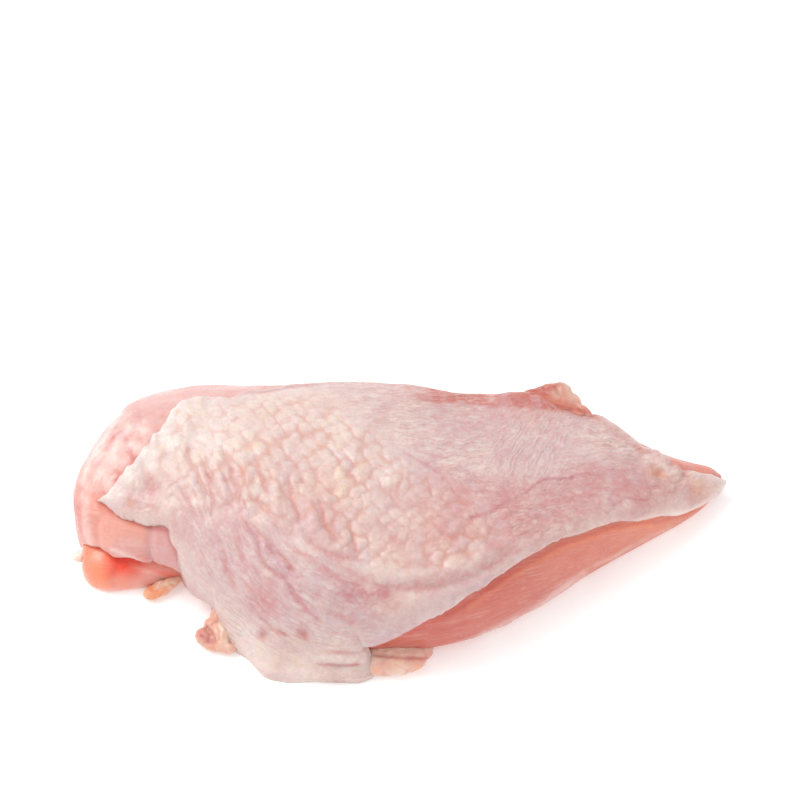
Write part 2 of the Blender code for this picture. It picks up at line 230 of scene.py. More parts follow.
class Brush:
    """Paints masks over the points of one surface, where the camera sees them."""

    SWAY_PIXELS = 2.4
    SWAY_SIZE = 4.0
    SWAY_SEEDS = (81, 82)
    THINNEST = 0.4

    def __init__(self, seen: np.ndarray) -> None:
        """Keeps where the points are seen."""
        self.seen = seen

    def shaken(self, points: np.ndarray) -> "Brush":
        """Brush over the same points, whose lines waver as creases and veins do."""
        sway = np.stack([Grain(seed).rough(points, self.SWAY_SIZE, 2) for seed in self.SWAY_SEEDS], axis=1)
        return Brush(self.seen + self.SWAY_PIXELS * sway)

    def away(self, path: Path) -> tuple[np.ndarray, np.ndarray]:
        """Reads how far the points lie from a path.

        Args:
            path: Picture points that it goes through.

        Returns:
            Distance of each point, and the share of the path passed there.
        """
        line = np.asarray(path, dtype=float)
        lengths = np.linalg.norm(np.diff(line, axis=0), axis=1)
        passed = np.concatenate([[0.0], np.cumsum(lengths)])
        best, share = np.full(len(self.seen), np.inf), np.zeros(len(self.seen))
        for index, length in enumerate(lengths):
            step = (line[index + 1] - line[index]) / length
            along = np.clip((self.seen - line[index]) @ step, 0.0, length)
            gap = np.linalg.norm(self.seen - line[index] - along[:, None] * step, axis=1)
            share = np.where(gap < best, (passed[index] + along) / passed[-1], share)
            best = np.minimum(gap, best)
        return best, share

    def stroke(self, path: Path, width: float, end_width: float | None = None) -> np.ndarray:
        """Soft line.

        Args:
            path: Picture points that it goes through.
            width: Half width in pixels, where it has faded to a third.
            end_width: Half width at its end, if another.

        Returns:
            Mask from 0 to 1.
        """
        away, share = self.away(path)
        return np.exp(-((away / (width + ((end_width or width) - width) * share)) ** 2))

    def crease(self, path: Path, width: float) -> np.ndarray:
        """Soft line that thins and fades towards both ends.

        Args:
            path: Picture points that it goes through.
            width: Half width in pixels at its middle.

        Returns:
            Mask from 0 to 1.
        """
        away, share = self.away(path)
        ends = np.sqrt(np.sin(np.pi * np.clip(share, 0.01, 0.99)))
        return np.exp(-((away / (width * (self.THINNEST + (1.0 - self.THINNEST) * ends))) ** 2)) * ends

    def creases(self, lines: Iterable[Line]) -> np.ndarray:
        """The strongest of some creases at each point."""
        return np.maximum.reduce([self.crease(path, width) for path, width in lines])

    def carved(self, lines: Iterable[Crease], widen: float = 1.0) -> np.ndarray:
        """Sum of the depths of creases, all widened by a factor."""
        return sum(depth * self.crease(path, widen * width) for path, width, depth in lines)

    def strokes(self, *lines: Line) -> np.ndarray:
        """The strongest of some strokes at each point."""
        return np.maximum.reduce([self.stroke(path, width) for path, width in lines])

    def dabs(self, *spots: Dab) -> np.ndarray:
        """Soft round spots laid over each other."""
        gaps = ((np.hypot(*(self.seen - spot[:2]).T) / spot[2], spot[3]) for spot in spots)
        return summed(*(strength * np.exp(-(gap**2)) for gap, strength in gaps))

    def patch(self, outline: Path, soft: float) -> np.ndarray:
        """Filled shape with a soft edge.

        Args:
            outline: Corners of the shape in the picture.
            soft: Pixels that the edge fades over.

        Returns:
            Mask from 0 to 1.
        """
        inside = np.zeros(len(self.seen), dtype=bool)
        across, down = self.seen.T
        for here, there in zip(outline, outline[1:] + outline[:1]):
            spans = (here[1] > down) != (there[1] > down)
            rise = (there[1] - here[1]) or 1e-9
            inside ^= spans & (across < (there[0] - here[0]) * (down - here[1]) / rise + here[0])
        away, _ = self.away(outline + outline[:1])
        return ease(np.where(inside, away, -away), -soft, soft)


@dataclass(frozen=True)
class Loft:
    """Rounded body drawn through sections along X.

    Each section holds x, near edge, far edge, underside, top and the place of the
    crest. Ring place 0 is the widest point on the near side, 1 the crest, 2 the
    widest point on the far side and 3 the middle of the underside.
    """

    sections: tuple[tuple[float, ...], ...]
    near_power: float = 2.5
    far_power: float = 2.0
    foot_power: float = 4.0
    girth: float = 0.27
    pressed_flat: float = 0.6
    knot_step: float = 0.002
    ring_step: float = 0.02
    row_bunching: float = 0.85
    pole_reach: float = 0.35

    def column(self, index: int, knot: np.ndarray) -> np.ndarray:
        """Reads one value of the sections, whose knots are spaced by how far the outline moves.

        Args:
            index: Which value of a section.
            knot: Places along the body, 0 to 1.

        Returns:
            The value at each place.
        """
        table = np.asarray(self.sections)
        steps = np.abs(np.diff(table[:, :3], axis=0))
        passed = np.concatenate([[0.0], np.cumsum(np.hypot(steps[:, 0], 0.5 * (steps[:, 1] + steps[:, 2])))])
        return smooth_curve(passed / passed[-1], table[:, index], knot)

    def knot_at_x(self, x: np.ndarray) -> np.ndarray:
        """Knots from 0 to 1 whose sections stand at places along X."""
        fine = np.linspace(0.0, 1.0, 2001)
        return np.interp(x, np.maximum.accumulate(self.column(0, fine)), fine)

    @staticmethod
    def quarter(power: float, share: np.ndarray) -> tuple[np.ndarray, np.ndarray]:
        """Points of a superellipse quarter.

        Args:
            power: Fullness of the curve.
            share: Places along its length, 0 on the first axis.

        Returns:
            Coordinates along the first and the second axis.
        """
        angle = np.linspace(0.0, 0.5 * math.pi, 65)
        across, up = np.cos(angle) ** (2.0 / power), np.sin(angle) ** (2.0 / power)
        length = np.concatenate([[0.0], np.cumsum(np.hypot(np.diff(across), np.diff(up)))])
        place = np.asarray(share) * length[-1]
        return np.interp(place, length, across), np.interp(place, length, up)

    def points(self, knot: np.ndarray, ring: np.ndarray) -> np.ndarray:
        """Points of the body's surface.

        Args:
            knot: Places along the body, 0 to 1.
            ring: Places round the section, 0 to 4.

        Returns:
            Points in millimetres, one a row.
        """
        x, near, far, under, top, crest = (self.column(c, knot) for c in range(6))
        ring = np.mod(np.asarray(ring, dtype=float), 4.0)
        turn = np.floor(ring).astype(int)
        girth = under + self.girth * (top - under)
        crown, middle = near + crest * (far - near), 0.5 * (near + far)
        y, z = np.zeros_like(ring), np.zeros_like(ring)
        quarters = (
            (self.near_power, crown, near, top), (self.far_power, crown, far, top),
            (self.foot_power, middle, far, under), (self.foot_power, middle, near, under),
        )
        for index, (power, centre, side, end) in enumerate(quarters):
            share = 1.0 - (ring - turn) if index % 2 else ring - turn
            across, up = self.quarter(power, share)
            y = np.where(turn == index, centre + (side - centre) * across, y)
            z = np.where(turn == index, girth + (end - girth) * up, z)
        lift = (z - self.pressed_flat) * top / (top - self.pressed_flat)
        return np.stack([x, y, np.maximum(lift, 0.0)], axis=-1)

    def normals(self, knot: np.ndarray, ring: np.ndarray) -> np.ndarray:
        """Outward directions of the body's surface.

        Args:
            knot: Places along the body.
            ring: Places round the section.

        Returns:
            Unit directions, one a row.
        """
        ahead, behind = np.minimum(knot + self.knot_step, 1.0), np.maximum(knot - self.knot_step, 0.0)
        along = self.points(ahead, ring) - self.points(behind, ring)
        around = self.points(knot, ring + self.ring_step) - self.points(knot, ring - self.ring_step)
        return unit(np.cross(along, around))

    def tube(self, rows: int, ring: np.ndarray) -> tuple[np.ndarray, np.ndarray]:
        """Whole body as rows of points that bunch at the ends, with a pole beyond each.

        Args:
            rows: How many rows.
            ring: Places of each row's points round the section.

        Returns:
            Points and their outward directions, the two poles last.
        """
        turn = np.linspace(0.0, 1.0, rows)
        knot = turn - self.row_bunching * np.sin(2.0 * np.pi * turn) / (2.0 * np.pi)
        knots, rings = np.repeat(knot, len(ring)), np.tile(ring, rows)
        outward = np.array([[-1.0, 0.0, 0.0], [1.0, 0.0, 0.0]])
        ends = [self.points(np.full(16, end), np.arange(16) * 0.25).mean(axis=0) for end in (0.0, 1.0)]
        points = np.vstack([self.points(knots, rings), ends + self.pole_reach * outward])
        return points - CENTRE, np.vstack([self.normals(knots, rings), outward])


def unit(vectors: np.ndarray) -> np.ndarray:
    """Vectors brought to length 1."""
    return vectors / np.maximum(np.linalg.norm(vectors, axis=-1, keepdims=True), 1e-9)


MEAT = Loft((
    (-94.3, 5.9, 9.5, 4.0, 9.0, 0.50), (-93.2, -0.9, 15.3, 1.4, 13.5, 0.48), (-89.5, -10.8, 25.2, 0.3, 18.4, 0.46),
    (-81.0, -16.7, 37.8, 0.0, 23.4, 0.42), (-63.0, -19.8, 44.1, 0.0, 27.9, 0.38), (-45.0, -30.6, 43.6, 0.0, 31.5, 0.38),
    (-25.2, -40.5, 43.2, 0.0, 33.3, 0.38), (-1.8, -41.4, 42.3, 0.0, 32.4, 0.37), (18.0, -38.4, 41.4, 0.0, 30.2, 0.35),
    (37.8, -27.9, 41.4, 0.0, 27.0, 0.32), (55.8, -14.8, 35.6, 0.0, 22.5, 0.30), (72.0, -4.0, 26.1, 0.0, 15.3, 0.33),
    (85.5, 5.4, 22.2, 0.0, 8.6, 0.42), (93.6, 12.6, 20.6, 0.0, 5.0, 0.50), (95.9, 15.3, 19.2, 0.5, 2.7, 0.50),
))

FILLET = Loft((
    (-90.9, -11.7, -6.3, 1.8, 5.4, 0.50), (-89.5, -16.7, -0.9, 0.3, 9.9, 0.45), (-84.6, -20.2, 4.5, 0.0, 12.6, 0.42),
    (-75.6, -19.8, 7.7, 0.0, 12.2, 0.42), (-63.0, -17.1, 9.9, 0.0, 10.3, 0.42), (-40.5, -11.7, 11.7, 0.0, 9.0, 0.45),
    (-13.5, -8.1, 10.8, 0.0, 7.2, 0.50), (4.5, -3.1, 7.7, 0.0, 4.5, 0.50), (12.6, 0.9, 4.5, 0.3, 2.2, 0.50),
))


class Wire:
    """Output of a node. Sums are written with it as with a number."""

    def __init__(self, bench: "Bench", socket: bpy.types.NodeSocket) -> None:
        """Keeps the socket and the bench that it stands on."""
        self.bench, self.socket = bench, socket

    def __add__(self, other: "Wire | float") -> "Wire":
        """This plus another."""
        return self.bench.sum("ADD", self, other)

    def __sub__(self, other: "Wire | float") -> "Wire":
        """This less another."""
        return self.bench.sum("SUBTRACT", self, other)

    def __rsub__(self, other: float) -> "Wire":
        """A number less this."""
        return self.bench.sum("SUBTRACT", other, self)

    def __mul__(self, other: "Wire | float") -> "Wire":
        """This times another."""
        return self.bench.sum("MULTIPLY", self, other)

    def __truediv__(self, other: "Wire | float") -> "Wire":
        """This over another."""
        return self.bench.sum("DIVIDE", self, other)


Value = Wire | float | tuple[float, float, float]


class Bench:
    """Adds and joins nodes of one tree."""

    def __init__(self, tree: bpy.types.NodeTree) -> None:
        """Keeps the tree."""
        self.tree = tree

    def add(self, kind: str, inputs: dict | None = None, **settings) -> bpy.types.Node:
        """Adds a node.

        Args:
            kind: Type of the node.
            inputs: Values or wires for its inputs, by name or number.
            **settings: Properties of the node.

        Returns:
            The node.
        """
        node = self.tree.nodes.new(kind)
        for key, value in settings.items():
            setattr(node, key, value)
        for key, value in (inputs or {}).items():
            self.feed(node.inputs[key], value)
        return node

    def feed(self, socket: bpy.types.NodeSocket, value: Value) -> None:
        """Gives an input a value or joins it to a wire.

        Args:
            socket: The input.
            value: A wire, a number, a vector or a colour.
        """
        if isinstance(value, Wire):
            self.tree.links.new(value.socket, socket)
        else:
            socket.default_value = (*value, 1.0) if socket.type == "RGBA" else value

    def out(self, kind: str, inputs: dict | None = None, output: int | str = 0, **settings) -> Wire:
        """Adds a node, as add does, and gives one of its outputs."""
        return Wire(self, self.add(kind, inputs, **settings).outputs[output])

    def sum(self, operation: str, first: Value, second: Value = 0.0, clamp: bool = False) -> Wire:
        """Result of a Math node, held between 0 and 1 if clamped."""
        return self.out("ShaderNodeMath", {0: first, 1: second}, operation=operation, use_clamp=clamp)

    def vector(self, operation: str, first: Value, second: Value, output: int | str = 0) -> Wire:
        """Result of a Vector Math node with two vectors."""
        return self.out("ShaderNodeVectorMath", {0: first, 1: second}, output, operation=operation)

    def scaled(self, vector: Wire, scale: Value) -> Wire:
        """A vector times a number."""
        return self.out("ShaderNodeVectorMath", {0: vector, "Scale": scale}, operation="SCALE")

    def combined(self, *parts: Value) -> Wire:
        """Vector of up to three numbers."""
        return self.out("ShaderNodeCombineXYZ", dict(enumerate(parts)))

    def cells(self, vector: Wire, spacing: Wire, stretch: Wire) -> tuple[Wire, Wire, Wire]:
        """Measures a place in long cells.

        Args:
            vector: The place in millimetres.
            spacing: Width of a cell in millimetres.
            stretch: How many times longer than wide it is.

        Returns:
            Cells along X, cells across, and the depth in millimetres.
        """
        along, across, deep = (Wire(self, axis) for axis in self.add("ShaderNodeSeparateXYZ", {0: vector}).outputs)
        return along / (spacing * stretch), across / spacing, deep

    def noise(
        self, vector: Wire, scale: Value, detail: float, roughness: float = 0.5, distortion: float = 0.0,
        output: int | str = 0,
    ) -> Wire:
        """Result of a Noise Texture node, its factor or the output that is named."""
        inputs = {"Vector": vector, "Scale": scale, "Detail": detail, "Roughness": roughness, "Distortion": distortion}
        return self.out("ShaderNodeTexNoise", inputs, output)

    def span(
        self, value: Wire, low: float, high: float, to_low: float = 0.0, to_high: float = 1.0,
        curve: str = "SMOOTHSTEP",
    ) -> Wire:
        """Value mapped from the range of low to high to that of to_low to to_high."""
        inputs = {"Value": value, "From Min": low, "From Max": high, "To Min": to_low, "To Max": to_high}
        return self.out("ShaderNodeMapRange", inputs, interpolation_type=curve)

    def blend(self, share: Value, under: Wire | Colour, over: Wire | Colour) -> Wire:
        """Mixes two colours.

        Args:
            share: Share of the upper colour, 0 to 1.
            under: The lower colour.
            over: The upper colour.

        Returns:
            The colour.
        """
        node = self.add("ShaderNodeMix", {"Factor": share}, data_type="RGBA", blend_type="MIX")
        for socket, colour in zip((socket for socket in node.inputs if socket.type == "RGBA"), (under, over)):
            self.feed(socket, colour)
        return Wire(self, next(socket for socket in node.outputs if socket.type == "RGBA"))


@dataclass(frozen=True)
class Effect:
    """Shader node group that gives one number, made when a finish first uses it.

    Its inputs are a vector and the named numbers.
    """

    name: str
    inputs: dict[str, float]
    output: str
    draw: Callable[..., Wire]

    def tree(self) -> bpy.types.NodeTree:
        """The group, made on the first call."""
        made = bpy.data.node_groups.get(self.name)
        if made:
            return made
        tree = bpy.data.node_groups.new(self.name, "ShaderNodeTree")
        tree.interface.new_socket(name="Vector", in_out="INPUT", socket_type="NodeSocketVector")
        for label, value in self.inputs.items():
            tree.interface.new_socket(name=label, in_out="INPUT", socket_type="NodeSocketFloat").default_value = value
        tree.interface.new_socket(name=self.output, in_out="OUTPUT", socket_type="NodeSocketFloat")
        bench = Bench(tree)
        start = bench.add("NodeGroupInput").outputs[: len(self.inputs) + 1]
        bench.add("NodeGroupOutput", {0: self.draw(bench, *(Wire(bench, socket) for socket in start))})
        return tree


def draw_mottle(bench: Bench, vector: Wire, scale: Wire, contrast: Wire) -> Wire:
    """Cloudy mask of raw tissue."""
    cloud = bench.noise(vector, scale, 4.0, 0.55, 0.6)
    return bench.sum("ADD", (cloud - 0.5) * contrast * 2.2, 0.5, clamp=True)


def draw_grain(bench: Bench, vector: Wire, spacing: Wire, stretch: Wire) -> Wire:
    """Lines of muscle fibre or stretched skin along X, from a vector in millimetres."""
    along, across, deep = bench.cells(vector, spacing, stretch)
    return bench.noise(bench.combined(along, across, deep / spacing), 1.0, 2.0, 0.55, 0.5)


def draw_ripple(bench: Bench, vector: Wire, spacing: Wire, stretch: Wire, waver: Wire) -> Wire:
    """Thin creases of slack skin that run side by side, wander and break off.

    Args:
        bench: Bench of the group.
        vector: Place in millimetres.
        spacing: Millimetres between creases.
        stretch: How many times longer than their spacing they run.
        waver: How far they wander, in spacings.

    Returns:
        Height, 1 on the skin and less in the creases.
    """
    along, across, _ = bench.cells(vector, spacing, stretch)
    wander = bench.noise(bench.combined(along, across * 0.38, 3.7), 1.0, 2.0, 0.55)
    sine = bench.sum("SINE", (across + (wander - 0.5) * waver) * math.pi)
    patches = bench.noise(bench.combined(along * 1.4, across * 0.8, 9.1), 1.0, 2.0)
    return 1.0 - (1.0 - sine * sine) * bench.span(patches, 0.30, 0.58, 0.35, 1.0)


def draw_moisture(bench: Bench, vector: Wire, wet: Wire, dry: Wire) -> Wire:
    """Roughness of a damp surface, drier in patches."""
    return bench.span(bench.noise(vector, 160.0, 3.0, 0.6), 0.35, 0.65) * (dry - wet) + wet


MOTTLE = Effect("mottle", {"Scale": 90.0, "Contrast": 1.0}, "Mask", draw_mottle)
GRAIN = Effect("grain", {"Spacing": 1.0, "Stretch": 8.0}, "Lines", draw_grain)
RIPPLE = Effect("ripple", {"Spacing": 1.3, "Stretch": 5.0, "Waver": 2.0}, "Height", draw_ripple)
MOISTURE = Effect("moisture", {"Wet": 0.3, "Dry": 0.55}, "Roughness", draw_moisture)


@dataclass(frozen=True)
class Gloss:
    """How light goes into and off a raw surface, wet or dry."""

    wet: float
    dry: float
    subsurface: float
    radius: tuple[float, float, float]
    depth: float
    coat: float = 0.25
    coat_roughness: float = 0.2
    specular: float = 0.45
    ior: float = 1.4


class Finish:
    """A raw material while its nodes are laid."""

    MOST_TINT = 1.2

    def __init__(self, name: str) -> None:
        """Opens the material with a bare Principled BSDF.

        Args:
            name: Name of the material.
        """
        self.material = bpy.data.materials.new(name)
        self.material.use_nodes = True
        self.bench = Bench(self.material.node_tree)
        self.place = self.bench.out("ShaderNodeTexCoord", output="Object")

    def mask(self, mask: Mask) -> Wire:
        """A painted mask."""
        return self.bench.out("ShaderNodeAttribute", output="Fac", attribute_name=mask.value)

    def use(self, effect: Effect, vector: Wire | Chart, *values: float) -> Wire:
        """Places an effect in the material.

        Args:
            effect: The effect.
            vector: Wire or chart that it is laid along.
            *values: Its numbers in order.

        Returns:
            Its result.
        """
        if isinstance(vector, Chart):
            vector = self.bench.out("ShaderNodeAttribute", output="Vector", attribute_name=vector.value)
        return self.bench.out("ShaderNodeGroup", dict(enumerate((vector, *values))), node_tree=effect.tree())

    def mottle(self, scale: float, contrast: float) -> Wire:
        """Cloudy mask over the piece."""
        return self.use(MOTTLE, self.place, scale, contrast)

    def swept(self, effect: Effect, *values: float) -> Wire:
        """Effect along the drift chart, or along the swirl chart where the sweep mask lies."""
        drift, swirl = (self.use(effect, chart, *values) for chart in (Chart.DRIFT, Chart.SWIRL))
        return self.bench.out("ShaderNodeMix", {0: self.mask(Mask.SWEEP), 2: drift, 3: swirl})

    def tinted(self, colour: Wire, specks: Wire, least: float, tints: Iterable[tuple[Mask, Colour, float]]) -> Wire:
        """Lays tints over a colour, unevenly.

        Args:
            colour: The colour beneath.
            specks: Mask that makes them uneven.
            least: Share of the tint where the specks are empty.
            tints: Painted mask, colour and strength of each.

        Returns:
            The colour.
        """
        for mask, tint, strength in tints:
            uneven = self.bench.span(specks, 0.0, 1.0, least, self.MOST_TINT)
            share = self.bench.sum("MULTIPLY", self.mask(mask) * strength, uneven, clamp=True)
            colour = self.bench.blend(share, colour, tint)
        return colour

    def relief(self, *layers: tuple[Wire, float, float]) -> Wire:
        """Bumps the surface.

        Args:
            *layers: Height, the millimetres that it stands for and its strength, the coarsest first.

        Returns:
            The normal.
        """
        inputs = {}
        for height, depth, strength in layers:
            inputs |= {"Height": height, "Distance": depth * MM, "Strength": strength}
            inputs["Normal"] = self.bench.out("ShaderNodeBump", inputs)
        return inputs["Normal"]

    def close(self, colour: Wire, normal: Wire, gloss: Gloss) -> bpy.types.Material:
        """Feeds the shader.

        Args:
            colour: The base colour.
            normal: The normal.
            gloss: How light goes into and off the surface.

        Returns:
            The finished material.
        """
        values = {
            "Base Color": colour, "Normal": normal,
            "Roughness": self.use(MOISTURE, self.place, gloss.wet, gloss.dry),
            "Subsurface Weight": gloss.subsurface, "Subsurface Radius": gloss.radius, "Subsurface Scale": gloss.depth,
            "Coat Weight": gloss.coat, "Coat Roughness": gloss.coat_roughness,
            "Specular IOR Level": gloss.specular, "IOR": gloss.ior,
        }
        shader = self.material.node_tree.nodes["Principled BSDF"]
        for key, value in values.items():
            self.bench.feed(shader.inputs[key], value)
        return self.material


@dataclass(frozen=True)
class SkinFinish:
    """Damp, bumpy skin over thin fat."""

    cream: Colour = linear(226, 206, 196)
    rose: Colour = linear(210, 179, 175)
    blush: Colour = linear(204, 140, 139)
    lilac: Colour = linear(200, 170, 178)
    furrow_shade: Colour = linear(206, 142, 128)
    flesh: Colour = linear(196, 104, 90)
    orange: Colour = linear(226, 160, 118)
    vein: Colour = linear(184, 108, 114)
    pale: Colour = linear(243, 233, 226)
    sand: Colour = linear(233, 209, 172)
    cool: Colour = linear(208, 194, 200)
    gloss: Gloss = Gloss(0.34, 0.56, 0.30, (1.0, 0.42, 0.34), 0.0015, coat_roughness=0.26)

    def build(self, name: str) -> bpy.types.Material:
        """Makes the material.

        Args:
            name: Name of the material.

        Returns:
            The material.
        """
        work = Finish(name)
        bench = work.bench
        clouds, specks, flecks = work.mottle(70.0, 1.0), work.mottle(420.0, 1.1), work.mottle(1000.0, 1.4)
        hollow, wrinkles = work.mask(Mask.FURROW_SHADE), work.mask(Mask.WRINKLES)
        streaks, slack = work.swept(GRAIN, 2.0, 1.9), wrinkles * 0.8 + 0.2
        creases = work.swept(RIPPLE, 1.5, 2.8, 3.0)
        colour = bench.blend(bench.span(clouds, 0.2, 0.8), self.cream, self.rose)
        colour = work.tinted(colour, specks, 0.70, (
            (Mask.CREAM, self.cream, 0.85), (Mask.LILAC, self.lilac, 0.85), (Mask.BLUSH, self.blush, 0.75),
            (Mask.FLESH, self.flesh, 0.85), (Mask.ORANGE, self.orange, 0.75), (Mask.PALE, self.pale, 0.85),
        ))
        warm = bench.span(work.mottle(235.0, 1.5), 0.5, 1.0) * (work.mask(Mask.CREAM) + 0.15)
        layers = (
            (warm * 0.40, self.sand),
            (bench.span(work.mottle(180.0, 1.5), 0.45, 0.0, 0.0, 0.26), self.cool),
            (bench.span(specks, 0.35, 1.0, 0.0, 0.24), self.blush),
            (bench.span(flecks, 0.45, 1.0, 0.0, 0.13), self.blush),
            (bench.span(flecks, 0.55, 0.0, 0.0, 0.10), self.pale),
            (bench.span(streaks, 0.52, 0.75, 0.0, 0.32) * slack, self.pale),
            (bench.span(streaks, 0.48, 0.25, 0.0, 0.34) * slack, self.blush),
            # Painted shade: the furrow shade mask darkens creases and the furrows between bumps to pink, and the
            # deepest of them to orange.
            (bench.span(hollow, 0.22, 0.85, 0.0, 0.54), self.furrow_shade),
            (bench.span(hollow, 0.68, 0.98) * bench.span(clouds, 0.25, 0.75, 0.10, 0.65), self.orange),
            (work.mask(Mask.VEIN) * bench.span(specks, 0.1, 0.8, 0.35, 0.85), self.vein),
            # Painted shade: the valleys of the wrinkles are tinted blush.
            (bench.span(creases, 0.80, 0.10) * wrinkles * 0.26, self.blush),
        )
        for share, tint in layers:
            colour = bench.blend(share, colour, tint)
        fine = work.use(GRAIN, Chart.DRIFT, 0.7, 1.8)
        pores = bench.noise(work.place, 850.0, 3.0)
        normal = work.relief((creases * wrinkles, 0.17, 1.0), (fine * (wrinkles + 0.45), 0.17, 1.0), (pores, 0.20, 0.8))
        return work.close(colour, normal, self.gloss)


@dataclass(frozen=True)
class FleshFinish:
    """Raw muscle with fibres, a thin film and pale strands."""

    body: Colour = linear(218, 134, 118)
    deep: Colour = linear(200, 104, 92)
    film: Colour = linear(230, 188, 180)
    orange: Colour = linear(240, 148, 114)
    lilac: Colour = linear(218, 174, 173)
    pale: Colour = linear(244, 224, 216)
    flesh: Colour = linear(196, 64, 50)
    spacing: float = 0.8
    gloss: Gloss = Gloss(0.26, 0.48, 0.32, (1.0, 0.28, 0.18), 0.0030, coat=0.32)

    def build(self, name: str) -> bpy.types.Material:
        """Makes the material.

        Args:
            name: Name of the material.

        Returns:
            The material.
        """
        work = Finish(name)
        bench = work.bench
        fibres, strands = work.use(GRAIN, Chart.DRIFT, self.spacing, 14.0), work.use(GRAIN, Chart.DRIFT, 2.6, 9.0)
        colour = bench.blend(work.mottle(60.0, 1.1), self.body, self.deep)
        colour = bench.blend(bench.span(fibres, 0.5, 0.72) * 0.30, colour, self.film)
        colour = bench.blend(bench.span(strands, 0.58, 0.74) * 0.16, colour, self.pale)
        colour = work.tinted(colour, work.mottle(350.0, 1.0), 0.75, (
            (Mask.BLUSH, self.film, 0.9), (Mask.LILAC, self.lilac, 0.8), (Mask.ORANGE, self.orange, 0.9),
            (Mask.FLESH, self.flesh, 0.9), (Mask.CREAM, self.pale, 0.75), (Mask.PALE, self.pale, 0.9),
        ))
        pores = bench.noise(work.place, 700.0, 3.0)
        normal = work.relief((strands, 0.5, 0.6), (fibres, 0.25, 0.7), (pores, 0.12, 0.5))
        return work.close(colour, normal, self.gloss)


@dataclass(frozen=True)
class FatFinish:
    """Soft yellow-cream fat with shreds of flesh."""

    body: Colour = linear(240, 200, 172)
    deep: Colour = linear(226, 158, 130)
    flesh: Colour = linear(205, 110, 96)
    orange: Colour = linear(238, 158, 112)
    pale: Colour = linear(248, 228, 206)
    gloss: Gloss = Gloss(0.25, 0.45, 0.35, (1.0, 0.45, 0.28), 0.0022, coat=0.35)

    def build(self, name: str) -> bpy.types.Material:
        """Makes the material.

        Args:
            name: Name of the material.

        Returns:
            The material.
        """
        work = Finish(name)
        bench = work.bench
        colour = bench.blend(work.mottle(190.0, 1.3), self.body, self.deep)
        colour = work.tinted(colour, work.mottle(620.0, 1.0), 0.7, (
            (Mask.BLUSH, self.deep, 0.8), (Mask.ORANGE, self.orange, 0.9), (Mask.FLESH, self.flesh, 0.9),
            (Mask.PALE, self.pale, 0.9),
        ))
        beads = {"Vector": work.place, "Scale": 620.0, "Smoothness": 0.6}
        grains = 1.0 - bench.out("ShaderNodeTexVoronoi", beads, feature="SMOOTH_F1")
        pores = bench.noise(work.place, 1100.0, 2.0)
        return work.close(colour, work.relief((grains, 0.30, 0.6), (pores, 0.10, 0.5)), self.gloss)


class Surface:
    """A piece's mesh while it is shaped: points, masks and charts, then an object."""

    def __init__(self, points: np.ndarray, faces: list[tuple[int, ...]]) -> None:
        """Keeps the shape, with its faces turned outward and all masks empty.

        Args:
            points: Points in millimetres, one a row.
            faces: Faces of the closed mesh, all turned the same way.
        """
        triangles = np.array([(f[0], f[i], f[i + 1]) for f in faces for i in range(1, len(f) - 1)])
        a, b, c = (points[triangles[:, k]] for k in range(3))
        outward = np.sum(a * np.cross(b, c)) > 0.0
        self.points = points
        self.faces = faces if outward else [face[::-1] for face in faces]
        self.masks = {mask: np.zeros(len(points)) for mask in Mask}
        self.charts = {chart: points.copy() for chart in Chart}

    def object(self, name: str, material: bpy.types.Material) -> bpy.types.Object:
        """Makes the object, in metres, with its charts and with its masks held between 0 and 1.

        Args:
            name: Name of the piece.
            material: Its finish.

        Returns:
            The piece.
        """
        mesh = bpy.data.meshes.new(name)
        mesh.from_pydata((self.points * MM).tolist(), [], self.faces)
        for mask, values in self.masks.items():
            layer = mesh.attributes.new(mask.value, "FLOAT", "POINT")
            layer.data.foreach_set("value", np.clip(values, 0.0, 1.0).astype(np.float32))
        for chart, values in self.charts.items():
            layer = mesh.attributes.new(chart.value, "FLOAT_VECTOR", "POINT")
            layer.data.foreach_set("vector", values.astype(np.float32).ravel())
        mesh.materials.append(material)
        mesh.shade_smooth()
        mesh.update()
        piece = bpy.data.objects.new(name, mesh)
        bpy.context.collection.objects.link(piece)
        return piece


def tube_faces(rows: int, loop: int) -> list[tuple[int, ...]]:
    """Faces of a closed tube of rows of points, with a pole at each end.

    Args:
        rows: How many rows.
        loop: How many points a row.

    Returns:
        The faces. The two poles follow the rows' points.
    """
    start = np.arange(rows * loop).reshape(rows, loop)
    after = np.roll(start, -1, axis=1)
    quads = np.stack([start[:-1], after[:-1], after[1:], start[1:]], axis=-1).reshape(-1, 4)
    first, last = np.full(loop, rows * loop), np.full(loop, rows * loop + 1)
    caps = np.vstack([np.stack(cap, axis=1) for cap in ((first, after[0], start[0]), (last, start[-1], after[-1]))])
    return [tuple(face) for face in quads.tolist() + caps.tolist()]


